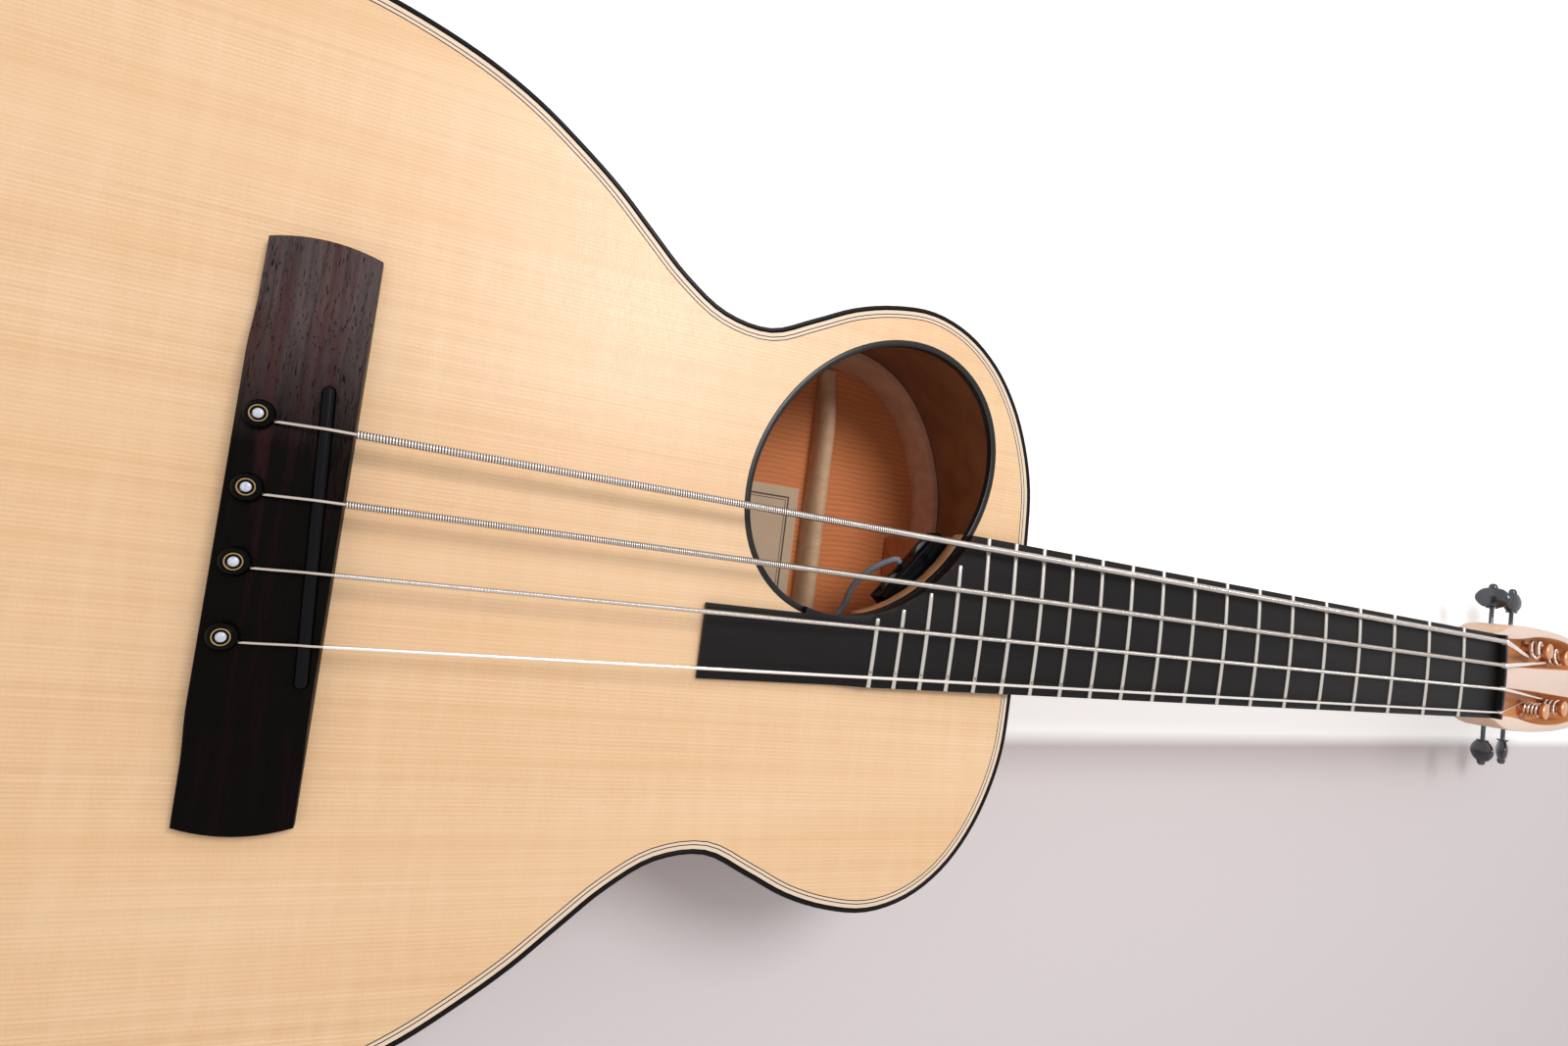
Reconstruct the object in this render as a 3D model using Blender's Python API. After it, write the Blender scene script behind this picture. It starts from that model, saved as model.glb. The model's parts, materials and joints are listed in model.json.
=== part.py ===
"""Four-string acoustic bass ukulele with an offset oval soundhole and a slotted-recess head.

The origin lies on the back's outer face under the saddle line. +X runs to the head, +Y to the bass side, +Z up.
Lengths are metres. Each size below is set once, and every place further down is worked out from these sizes.
"""

import math

import bmesh
import bpy
from mathutils import Matrix, Vector

# Fits between pieces
SEAT = 0.0003
RUNNING_GAP = 0.0003

# Strings, from the bass side to the treble side
SCALE_LENGTH = 0.530
STRING_DIAMETERS = (0.0025, 0.0021, 0.00155, 0.00115)
CORE_DIAMETERS = (0.00095, 0.0009, 0.00085, 0.0008)
STRING_TURNS = (1.75, 2.25, 3.0, 4.0)
SADDLE_SPACING = 0.0189
NUT_SPACING = 0.0120
STRING_OVER_NUT = 0.0006
WRAP_START = 0.0010
BALL_DIAMETER = 0.0032
TURN_GAP = 0.00062
TURN_STEPS = 16

# Body
BODY_LENGTH = 0.3915
BODY_DEPTH = 0.075
NECK_JOINT_FROM_SADDLE = 0.2315
UPPER_BOUT_WIDTH = 0.2156
UPPER_BOUT_AT = 0.0544
WAIST_WIDTH = 0.1730
WAIST_AT = 0.1209
LOWER_BOUT_WIDTH = 0.3140
LOWER_BOUT_AT = 0.2715
TOP_THICKNESS = 0.0026
BACK_THICKNESS = 0.0026
SIDE_THICKNESS = 0.0026
BINDING_WIDTH = 0.0015
BINDING_HEIGHT = 0.0050
LINING_WIDTH = 0.0065
LINING_HEIGHT = 0.0120
LINING_TOE = 0.0022
HALF_OUTLINE_STEPS = 36

# Shape of the outline: shares of the way along each stretch and of its change in width
SHOULDER_SHAPE = ((0.0, 0.17), (0.004, 0.335), (0.021, 0.455), (0.057, 0.540), (0.118, 0.632), (0.211, 0.733),
                  (0.338, 0.822), (0.504, 0.910), (0.776, 0.982))
SHOULDER_TO_WAIST_SHAPE = ((0.361, 0.826), (0.689, 0.352))
WAIST_TO_LOWER_SHAPE = ((0.146, 0.133), (0.339, 0.488), (0.556, 0.791), (0.800, 0.963))
TAIL_SHAPE = ((0.333, 0.955), (0.650, 0.806), (0.867, 0.5605), (0.975, 0.287))

# Shape of the cable's fall to the back: shares of the way along, across and down
CABLE_DROP_SHAPE = ((0.068, 0.087, 0.15), (0.092, 0.242, 0.32), (0.094, 0.454, 0.49), (0.144, 0.672, 0.66),
                    (0.287, 0.878, 0.83))

# Blocks, braces and plates inside
NECK_BLOCK_LENGTH = 0.019
NECK_BLOCK_WIDTH = 0.058
TAIL_BLOCK_LENGTH = 0.018
TAIL_BLOCK_WIDTH = 0.070
BRACE_WIDTH = 0.0075
BACK_BRACE_HEIGHT = 0.0120
TOP_BRACE_HEIGHT = 0.0110
BRACE_END_HEIGHT = 0.0035
BACK_BRACES_AT = (0.1712, 0.060, -0.070)
PATCH_THICKNESS = 0.0060
BRIDGE_PLATE_LENGTH = 0.040
BRIDGE_PLATE_INSET = 0.00135
BRIDGE_PLATE_THICKNESS = 0.0025
TONE_BAR_LENGTH = 0.150
TONE_BAR_ANGLE = math.radians(30)

# Soundhole, an ellipse turned from the neck line
HOLE_CENTRE_FROM_SADDLE = 0.1637
HOLE_CENTRE_ACROSS = 0.0436
HOLE_LONG_RADIUS = 0.0559
HOLE_SHORT_RADIUS = 0.0440
HOLE_TURN = math.radians(51.6)
RIM_WIDTH = 0.0022
HOLE_STEPS = 40

# Bridge, saddle and pins
BRIDGE_WIDTH = 0.1600
BRIDGE_LENGTH = 0.0277
BRIDGE_FRONT = -0.0011
BRIDGE_HEIGHT = 0.0085
BRIDGE_END_HEIGHT = 0.0038
BRIDGE_END_BULGE = 0.0023
BRIDGE_FLAT_WIDTH = 0.0900
BRIDGE_SCOOP_LENGTH = 0.0180
SADDLE_LENGTH = 0.0798
SADDLE_THICKNESS = 0.0030
SADDLE_PROUD = 0.0021
SADDLE_SLOT_DEPTH = 0.0045
SADDLE_AT_BASS = -0.0085
SADDLE_AT_TREBLE = -0.0041
PIN_FROM_SADDLE = -0.0231
PIN_SPACING = 0.0191
PIN_ROW_SHIFT = 0.0010
PIN_HEAD_DIAMETER = 0.0076
PIN_HEAD_HEIGHT = 0.0034
PIN_SHAFT_DIAMETER = 0.0048
PIN_TIP_DIAMETER = 0.0040
PIN_SHAFT_LENGTH = 0.0190

# Neck, fretboard and nut
NUT_WIDTH = 0.0429
NUT_THICKNESS = 0.0045
NUT_HEIGHT = 0.0085
BOARD_WIDTH_AT_LAST_FRET = 0.0588
FRETBOARD_THICKNESS = 0.0051
FRETBOARD_RADIUS = 0.320
FRET_COUNT = 20
FRET_WIDTH = 0.0018
FRET_HEIGHT = 0.0010
FRET_ROOT = 0.0012
EXTENSION_LENGTH = 0.0610
EXTENSION_THICKNESS = 0.0028
EXTENSION_RAMP = 0.0130
EXTENSION_EDGE = -0.0063
NECK_DEPTH_AT_NUT = 0.0145
NECK_DEPTH_AT_HEEL = 0.0168
VOLUTE_LENGTH = 0.030
HEEL_LENGTH = 0.052
HEEL_FLAT = 0.016
HEEL_CAP_THICKNESS = 0.0025
HEEL_CAP_LENGTH = 0.0215
HEEL_CAP_WIDTH = 0.0230
ROD_WIDTH = 0.0056
ROD_HEIGHT = 0.0085
ROD_END_GAP = 0.012

# Head, in its own frame: along the head, across it, and up out of its face
HEAD_TILT = math.radians(11)
HEAD_LENGTH = 0.168
HEAD_THICKNESS = 0.0195
HEAD_HALF_WIDTHS = ((0.0, 0.0222), (0.010, 0.0232), (0.024, 0.0268), (0.038, 0.0285), (0.075, 0.0292),
                    (0.112, 0.0284), (0.150, 0.0256))
HEAD_CORNER = 0.010
HEAD_LAP = 0.001
TROUGH_DEPTH = 0.0130
TROUGH_OUTER = ((0.004, 0.0198), (0.040, 0.0212), (0.075, 0.0244), (0.110, 0.0247), (0.140, 0.0222))
TROUGH_INNER = ((0.140, 0.0085), (0.105, 0.0076), (0.060, 0.0064), (0.004, 0.0060))
TROUGH_END = 0.008

# Tuning machines
NEAR_POST_AT = 0.0960
FAR_POST_AT = 0.1300
NEAR_POST_ACROSS = 0.0175
FAR_POST_ACROSS = 0.0152
POST_DIAMETER = 0.0060
POST_CAP_DIAMETER = 0.0094
POST_CAP_HEIGHT = 0.0034
POST_FLANGE_HEIGHT = 0.0008
GEAR_TEETH = 14
WORM_PITCH = 0.0024
WORM_PITCH_RADIUS = 0.0024
THREAD_RISE = 0.0006
THREAD_FALL = 0.0007
WORM_LENGTH = 0.0090
GEAR_THICKNESS = 0.0036
GEAR_SCREW_DIAMETER = 0.0056
GEAR_SCREW_HEIGHT = 0.0014
PLATE_THICKNESS = 0.0015
PLATE_TO_WORM = 0.0055
LUG_THICKNESS = 0.0024
LUG_GAP = 0.0104
SHAFT_DIAMETER = 0.0032
BUTTON_FROM_CENTRE = 0.0394
BUTTON_LENGTH = 0.0130
BUTTON_HEIGHT = 0.0176
BUTTON_THICKNESS = 0.0056
BUTTON_PIP = 0.0022
BUTTON_REST_TURNS = (0.0, math.radians(78), math.radians(66), math.radians(38))

# Control unit, cable and end jack
UNIT_LENGTH = 0.0345
UNIT_WIDTH = 0.0130
UNIT_HEIGHT = 0.0090
UNIT_MIDDLE = (0.1915, 0.0115)
UNIT_TURN = math.radians(51)
WHEEL_DIAMETER = 0.0120
WHEEL_THICKNESS = 0.0024
WHEEL_SPACING = 0.0180
WHEEL_PROUD = 0.0018
WHEEL_AXLE_DIAMETER = 0.0020
CABLE_DIAMETER = 0.0030
CABLE_ACROSS = -0.0300
CABLE_STEPS = 240
JACK_DIAMETER = 0.0120
JACK_LENGTH = 0.0300
JACK_NECK_DIAMETER = 0.0090
JACK_BUTTON_DIAMETER = 0.0150
JACK_BUTTON_LENGTH = 0.0110
JACK_SOCKET_DIAMETER = 0.0064

# Places worked out from the sizes
TOP_FACE = BODY_DEPTH
NECK_END = NECK_JOINT_FROM_SADDLE
TAIL_END = NECK_END - BODY_LENGTH
NUT_BACK = SCALE_LENGTH + NUT_THICKNESS
LAST_FRET_FROM_NUT = SCALE_LENGTH * (1 - 2 ** (-FRET_COUNT / 12))
BOARD_END = SCALE_LENGTH - LAST_FRET_FROM_NUT - EXTENSION_LENGTH
BOARD_TOP = TOP_FACE + SEAT + FRETBOARD_THICKNESS
BRIDGE_BASE = TOP_FACE + SEAT
BRIDGE_TOP = BRIDGE_BASE + BRIDGE_HEIGHT
GEAR_RADIUS = GEAR_TEETH * WORM_PITCH / (2 * math.pi)
WORM_TO_POST = GEAR_RADIUS + WORM_PITCH_RADIUS
PLATE_FACE = -HEAD_THICKNESS - SEAT
WORM_HEIGHT = PLATE_FACE - PLATE_THICKNESS - PLATE_TO_WORM
TROUGH_FLOOR = -TROUGH_DEPTH
UNIT_TOP = TOP_FACE - TOP_THICKNESS - SEAT - PATCH_THICKNESS - SEAT
JACK_HEIGHT = BODY_DEPTH / 2

MATERIALS = {
    "spruce": ((0.86, 0.66, 0.42), 0.45, 0.0),
    "mahogany": ((0.42, 0.17, 0.07), 0.55, 0.0),
    "brace_spruce": ((0.80, 0.62, 0.40), 0.6, 0.0),
    "maple": ((0.80, 0.58, 0.36), 0.45, 0.0),
    "ebony": ((0.022, 0.019, 0.018), 0.4, 0.0),
    "rosewood": ((0.060, 0.028, 0.022), 0.4, 0.0),
    "black_plastic": ((0.02, 0.02, 0.02), 0.35, 0.0),
    "black_metal": ((0.03, 0.03, 0.03), 0.3, 0.6),
    "steel": ((0.62, 0.60, 0.58), 0.28, 1.0),
    "copper": ((0.72, 0.36, 0.20), 0.3, 1.0),
    "brass": ((0.70, 0.52, 0.24), 0.3, 1.0),
    "grey_rubber": ((0.22, 0.24, 0.28), 0.6, 0.0),
}


def clear_scene():
    for item in list(bpy.data.objects):
        bpy.data.objects.remove(item, do_unlink=True)


def material(name):
    found = bpy.data.materials.get(name)
    if found:
        return found
    colour, roughness, metallic = MATERIALS[name]
    made = bpy.data.materials.new(name)
    made.use_nodes = True
    shader = made.node_tree.nodes["Principled BSDF"]
    shader.inputs["Base Color"].default_value = (*colour, 1)
    shader.inputs["Roughness"].default_value = roughness
    shader.inputs["Metallic"].default_value = metallic
    return made


def piece(name, bm, finish, place=None, smooth=math.radians(35)):
    """A named object made from a bmesh, with its own copy of a finish."""
    bmesh.ops.recalc_face_normals(bm, faces=bm.faces)
    mesh = bpy.data.meshes.new(name)
    bm.to_mesh(mesh)
    bm.free()
    made = bpy.data.objects.new(name, mesh)
    bpy.context.collection.objects.link(made)
    own = material(finish).copy()
    own.name = name + "_finish"
    mesh.materials.append(own)
    mesh.shade_smooth()
    mesh.set_sharp_from_angle(angle=smooth)
    if place is not None:
        made.matrix_world = place
    return made


def cutter(name, bm, place=None):
    made = piece(name, bm, "steel", place)
    made.hide_render = True
    made.display_type = "WIRE"
    return made


def combine(target, other, operation="DIFFERENCE"):
    other.hide_render = True
    other.display_type = "WIRE"
    step = target.modifiers.new(other.name, "BOOLEAN")
    step.operation = operation
    step.solver = "EXACT"
    step.object = other


def prism(points, low, high):
    """A flat outline of (x, y) points raised from one height to another."""
    bm = bmesh.new()
    face = bm.faces.new([bm.verts.new((x, y, low)) for x, y in points])
    raised = bmesh.ops.extrude_face_region(bm, geom=[face])
    tops = [item for item in raised["geom"] if isinstance(item, bmesh.types.BMVert)]
    bmesh.ops.translate(bm, verts=tops, vec=(0, 0, high - low))
    return bm


def box(low, high):
    bm = bmesh.new()
    bmesh.ops.create_cube(bm, size=1)
    size = Vector(high) - Vector(low)
    middle = (Vector(high) + Vector(low)) / 2
    bmesh.ops.scale(bm, vec=size, verts=bm.verts)
    bmesh.ops.translate(bm, vec=middle, verts=bm.verts)
    return bm


def loft(rings, closed=False):
    """Skin over rings of equally many points, capped at both ends or joined round."""
    bm = bmesh.new()
    rows = [[bm.verts.new(point) for point in ring] for ring in rings]
    pairs = list(zip(rows, rows[1:] + rows[:1])) if closed else list(zip(rows, rows[1:]))
    for near, far in pairs:
        for i in range(len(near)):
            j = (i + 1) % len(near)
            bm.faces.new((near[i], near[j], far[j], far[i]))
    if not closed:
        bm.faces.new(reversed(rows[0]))
        bm.faces.new(rows[-1])
    return bm


def turned(profile, steps=16):
    """A solid of revolution about Z from (radius, height) pairs, lowest first."""
    rings = []
    for radius, height in profile:
        ring = []
        for k in range(steps):
            angle = 2 * math.pi * k / steps
            ring.append((radius * math.cos(angle), radius * math.sin(angle), height))
        rings.append(ring)
    return loft(rings)


def through(points, steps):
    """Evenly spaced points on a smooth curve through the given ones."""
    ends = [2 * points[0] - points[1]] + list(points) + [2 * points[-1] - points[-2]]
    fine = []
    for before, start, end, after in zip(ends, ends[1:], ends[2:], ends[3:]):
        span = (end - start).length
        lead = (end - before) * span / ((start - before).length + span)
        tail = (after - start) * span / ((after - end).length + span)
        for k in range(24):
            t = k / 24
            fine.append((2 * t ** 3 - 3 * t ** 2 + 1) * start + (t ** 3 - 2 * t ** 2 + t) * lead
                        + (3 * t ** 2 - 2 * t ** 3) * end + (t ** 3 - t ** 2) * tail)
    fine.append(points[-1].copy())
    return spaced(fine, steps)


def spaced(line, steps):
    """Points at equal distances along a line of many points."""
    lengths = [0.0]
    for start, end in zip(line, line[1:]):
        lengths.append(lengths[-1] + (end - start).length)
    found, k = [], 0
    for step in range(steps + 1):
        wanted = lengths[-1] * step / steps
        while k < len(line) - 2 and lengths[k + 1] < wanted:
            k += 1
        share = (wanted - lengths[k]) / max(lengths[k + 1] - lengths[k], 1e-9)
        found.append(line[k].lerp(line[k + 1], min(share, 1.0)))
    return found


def tube(name, points, radii, finish, sides=2):
    """One unbroken round tube along points, as a curve with filled caps."""
    curve = bpy.data.curves.new(name, "CURVE")
    curve.dimensions = "3D"
    curve.bevel_depth = 1.0
    curve.bevel_resolution = sides
    curve.use_fill_caps = True
    line = curve.splines.new("POLY")
    line.points.add(len(points) - 1)
    for place, point, radius in zip(line.points, points, radii):
        place.co = (*point, 1)
        place.radius = radius
    made = bpy.data.objects.new(name, curve)
    bpy.context.collection.objects.link(made)
    own = material(finish).copy()
    own.name = name + "_finish"
    curve.materials.append(own)
    return made


# Body outline


def half_outline():
    """Bass half of the body's outline, from the middle of the neck end to the middle of the tail."""
    upper, waist, lower = UPPER_BOUT_WIDTH / 2, WAIST_WIDTH / 2, LOWER_BOUT_WIDTH / 2
    points = [(0.0, 0.0)]
    points += [(UPPER_BOUT_AT * along, upper * wide) for along, wide in SHOULDER_SHAPE]
    points.append((UPPER_BOUT_AT, upper))
    run, change = WAIST_AT - UPPER_BOUT_AT, upper - waist
    points += [(UPPER_BOUT_AT + run * along, waist + change * wide) for along, wide in SHOULDER_TO_WAIST_SHAPE]
    points.append((WAIST_AT, waist))
    run, change = LOWER_BOUT_AT - WAIST_AT, lower - waist
    points += [(WAIST_AT + run * along, waist + change * wide) for along, wide in WAIST_TO_LOWER_SHAPE]
    points.append((LOWER_BOUT_AT, lower))
    run = BODY_LENGTH - LOWER_BOUT_AT
    points += [(LOWER_BOUT_AT + run * along, lower * wide) for along, wide in TAIL_SHAPE]
    points.append((BODY_LENGTH, 0.0))
    return through([Vector((NECK_END - along, across)) for along, across in points], 480)


def corner_normals(line):
    """Offset directions at the corners of the bass half, so that drawn-in outlines keep an exact distance."""
    edges = [Vector((start.y - end.y, end.x - start.x)).normalized() * -1 for start, end in zip(line, line[1:])]
    first, last = edges[0], edges[-1]
    edges = [Vector((first.x, -first.y))] + edges + [Vector((last.x, -last.y))]
    return [(before + after) / (1 + before.dot(after)) for before, after in zip(edges, edges[1:])]


HALF = spaced(half_outline(), HALF_OUTLINE_STEPS)
HALF_NORMALS = corner_normals(HALF)


def half_line(inset):
    """Bass half of the outline drawn in by a distance, from the neck end to the tail."""
    return [place - normal * inset for place, normal in zip(HALF, HALF_NORMALS)]


def whole_outline(inset=0.0):
    """Closed outline of the body drawn in by a distance."""
    bass = half_line(inset)
    return bass + [Vector((point.x, -point.y)) for point in reversed(bass[1:-1])]


def cut_at(start, end, across):
    share = (across - start.y) / (end.y - start.y)
    return start.lerp(end, share)


def half_ribbon(side, near_across, far_across, profile):
    """A cross-section of (inset, height) pairs run along one half, cut square to the centre line at both ends."""
    lines = [half_line(inset) for inset, _ in profile]
    first = next(k for k in range(len(HALF)) if min(line[k].y for line in lines) > near_across + SEAT)
    last = max(k for k in range(len(HALF)) if min(line[k].y for line in lines) > far_across + SEAT)
    rings = []
    for k in [None] + list(range(first, last + 1)) + [-1]:
        ring = []
        for line, (_, height) in zip(lines, profile):
            if k is None:
                outside = max(m for m in range(first) if line[m].y <= near_across)
                spot = cut_at(line[outside], line[outside + 1], near_across)
            elif k == -1:
                outside = min(m for m in range(last, len(line)) if line[m].y <= far_across)
                spot = cut_at(line[outside - 1], line[outside], far_across)
            else:
                spot = line[k]
            ring.append((spot.x, side * spot.y, height))
        rings.append(ring)
    return loft(rings)


def closed_ribbon(profile):
    rings = []
    lines = [whole_outline(inset) for inset, _ in profile]
    for k in range(len(lines[0])):
        rings.append([(line[k].x, line[k].y, height) for line, (_, height) in zip(lines, profile)])
    return loft(rings, closed=True)


def hole_outline(inset=0.0, steps=HOLE_STEPS):
    points = []
    for k in range(steps):
        angle = 2 * math.pi * k / steps
        long = (HOLE_LONG_RADIUS - inset) * math.cos(angle)
        short = (HOLE_SHORT_RADIUS - inset) * math.sin(angle)
        points.append((HOLE_CENTRE_FROM_SADDLE + long * math.cos(HOLE_TURN) - short * math.sin(HOLE_TURN),
                       HOLE_CENTRE_ACROSS + long * math.sin(HOLE_TURN) + short * math.cos(HOLE_TURN)))
    return points


def string_across(number, spacing):
    """Distance of a string from the centre line: string 0 is the thickest, on the bass side."""
    return (1.5 - number) * spacing


def pin_place(number):
    return PIN_FROM_SADDLE, string_across(number, PIN_SPACING) + PIN_ROW_SHIFT


def string_hole_offset(number):
    """How far in front of its pin a string comes up, clear of the pin's head."""
    return PIN_HEAD_DIAMETER / 2 + SEAT + CORE_DIAMETERS[number] / 2


def pin_bore_outline(number):
    """A round bore with a string slot towards the saddle."""
    x, y = pin_place(number)
    radius = PIN_SHAFT_DIAMETER / 2 + SEAT
    half_slot = CORE_DIAMETERS[number] / 2 + SEAT
    reach = string_hole_offset(number) + CORE_DIAMETERS[number] / 2 + SEAT
    opening = math.asin(half_slot / radius)
    points = [(x + reach, y - half_slot), (x + reach, y + half_slot)]
    for k in range(13):
        angle = opening + (2 * math.pi - 2 * opening) * k / 12
        points.append((x + radius * math.cos(angle), y + radius * math.sin(angle)))
    return points


def cut_pin_bores(target, low, high):
    for number in range(4):
        combine(target, cutter("pin_bore_%s_%d" % (target.name, number), prism(pin_bore_outline(number), low, high)))


# Body


def make_plates():
    edge = [tuple(point) for point in whole_outline(BINDING_WIDTH + SEAT)]
    top = piece("soundboard", prism(edge, TOP_FACE - TOP_THICKNESS, TOP_FACE), "spruce")
    opening = prism(hole_outline(-SEAT), TOP_FACE - 2 * TOP_THICKNESS, TOP_FACE + TOP_THICKNESS)
    combine(top, cutter("soundboard_opening", opening))
    cut_pin_bores(top, TOP_FACE - 2 * TOP_THICKNESS, TOP_FACE + TOP_THICKNESS)
    piece("back", prism(edge, 0.0, BACK_THICKNESS), "mahogany")


def make_sides():
    low = BACK_THICKNESS + SEAT
    high = TOP_FACE - TOP_THICKNESS - SEAT
    rebate = BINDING_WIDTH + SEAT
    skirt = BINDING_HEIGHT + SEAT
    profile = [(SIDE_THICKNESS, low), (rebate, low), (rebate, skirt), (0, skirt), (0, TOP_FACE - skirt),
               (rebate, TOP_FACE - skirt), (rebate, high), (SIDE_THICKNESS, high)]
    bore = turned([(JACK_NECK_DIAMETER / 2 + SEAT, -TAIL_BLOCK_LENGTH), (JACK_NECK_DIAMETER / 2 + SEAT, 0.0)])
    guide = cutter("jack_bore", bore, jack_matrix() @ Matrix.Translation((0, 0, TAIL_BLOCK_LENGTH / 2)))
    for name, side in (("side_bass", 1), ("side_treble", -1)):
        combine(piece(name, half_ribbon(side, SEAT / 2, SEAT / 2, profile), "mahogany"), guide)


def make_linings():
    outer = SIDE_THICKNESS + SEAT
    inner = outer + LINING_WIDTH
    toe = outer + LINING_TOE
    low = BACK_THICKNESS + SEAT
    high = TOP_FACE - TOP_THICKNESS - SEAT
    back = [(outer, low), (inner, low), (inner, low + LINING_HEIGHT * 0.4), (toe, low + LINING_HEIGHT),
            (outer, low + LINING_HEIGHT)]
    front = [(outer, high - LINING_HEIGHT), (toe, high - LINING_HEIGHT), (inner, high - LINING_HEIGHT * 0.4),
             (inner, high), (outer, high)]
    for end, profile in (("back", back), ("top", front)):
        for name, side in (("bass", 1), ("treble", -1)):
            made = half_ribbon(side, NECK_BLOCK_WIDTH / 2 + SEAT, TAIL_BLOCK_WIDTH / 2 + SEAT, profile)
            piece("%s_lining_%s" % (end, name), made, "mahogany")


def make_bindings():
    for name, low in (("top_binding", TOP_FACE - BINDING_HEIGHT), ("back_binding", 0.0)):
        high = low + BINDING_HEIGHT
        piece(name, closed_ribbon([(BINDING_WIDTH, low), (0, low), (0, high), (BINDING_WIDTH, high)]), "ebony")


def make_rim():
    outer, inner = hole_outline(), hole_outline(RIM_WIDTH)
    low = TOP_FACE - TOP_THICKNESS
    rings = []
    for (ox, oy), (ix, iy) in zip(outer, inner):
        rings.append([(ox, oy, low), (ox, oy, TOP_FACE), (ix, iy, TOP_FACE), (ix, iy, low)])
    piece("soundhole_rim", loft(rings, closed=True), "black_plastic")


def inner_half_width(x, inset):
    """Half width of the space inside the sides at a distance along the body."""
    line = half_line(inset)
    for start, end in zip(line, line[1:]):
        if end.x <= x <= start.x:
            return start.lerp(end, (start.x - x) / (start.x - end.x)).y
    return 0.0


def make_blocks():
    low, high = BACK_THICKNESS + SEAT, TOP_FACE - TOP_THICKNESS - SEAT
    front = NECK_END - SIDE_THICKNESS - SEAT
    half = NECK_BLOCK_WIDTH / 2
    bevel_edges(piece("neck_block", box((front - NECK_BLOCK_LENGTH, -half, low), (front, half, high)), "mahogany"),
                0.001)
    half = TAIL_BLOCK_WIDTH / 2
    rear = [point for point in half_line(SIDE_THICKNESS + SEAT) if point.x < 0]
    curve = [point for point in rear if point.y < half - SEAT]
    outside = len(rear) - len(curve)
    corner = cut_at(rear[outside - 1], rear[outside], half)
    curve = [corner] + curve
    flat = TAIL_END + SIDE_THICKNESS + TAIL_BLOCK_LENGTH
    shape = [(flat, -half), (flat, half)] + [(point.x, point.y) for point in curve]
    shape += [(point.x, -point.y) for point in reversed(curve[:-1])]
    tail = piece("tail_block", prism(shape, low, high), "mahogany")
    reach = TAIL_BLOCK_LENGTH * 2
    bore = turned([(JACK_DIAMETER / 2 + SEAT, -reach), (JACK_DIAMETER / 2 + SEAT, reach)])
    combine(tail, cutter("tail_block_bore", bore, jack_matrix()))


def bevel_edges(made, width, segments=1):
    step = made.modifiers.new("bevel", "BEVEL")
    step.width = width
    step.segments = segments
    step.limit_method = "ANGLE"
    step.angle_limit = math.radians(40)
    step.harden_normals = False


def brace(name, middle, length, angle, base, height, upward):
    """A bar glued along a plate, rounded on its free side and thinned towards both ends."""
    along = Vector((math.cos(angle), math.sin(angle), 0))
    across = Vector((-along.y, along.x, 0))
    rise = Vector((0, 0, 1 if upward else -1))
    rings = []
    for share in (-1.0, -0.86, -0.66, 0.66, 0.86, 1.0):
        edge = 1 - abs(share)
        tall = BRACE_END_HEIGHT + (height - BRACE_END_HEIGHT) * min(1.0, edge / 0.34) ** 0.7
        centre = Vector((middle[0], middle[1], base)) + along * (length / 2 * share)
        half = BRACE_WIDTH / 2
        rings.append([centre + across * half, centre + across * half + rise * tall * 0.55,
                      centre + across * half * 0.35 + rise * tall, centre - across * half * 0.35 + rise * tall,
                      centre - across * half + rise * tall * 0.55, centre - across * half])
    return piece(name, loft(rings), "brace_spruce")


def clear_half_width(x):
    """Half length of a bar across the body that ends clear of the linings."""
    inset = SIDE_THICKNESS + SEAT + LINING_WIDTH + SEAT
    return min(inner_half_width(x + BRACE_WIDTH * share, inset) for share in (-0.5, 0.0, 0.5))


def make_braces():
    for number, x in enumerate(BACK_BRACES_AT, 1):
        length = 2 * clear_half_width(x)
        brace("back_brace_%d" % number, (x, 0), length, math.pi / 2, BACK_THICKNESS + SEAT, BACK_BRACE_HEIGHT, True)
    base = TOP_FACE - TOP_THICKNESS - SEAT
    x = HOLE_CENTRE_FROM_SADDLE - HOLE_LONG_RADIUS - BRACE_WIDTH
    length = 2 * clear_half_width(x)
    brace("waist_brace", (x, 0), length, math.pi / 2, base, TOP_BRACE_HEIGHT, False)
    rear = BRIDGE_FRONT - BRIDGE_LENGTH - BRIDGE_PLATE_LENGTH / 2
    half = TONE_BAR_LENGTH / 2 * math.cos(TONE_BAR_ANGLE)
    brace("tone_bar", (rear - half * 0.78, 0), TONE_BAR_LENGTH, math.pi / 2 - TONE_BAR_ANGLE, base,
          TOP_BRACE_HEIGHT, False)


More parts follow.
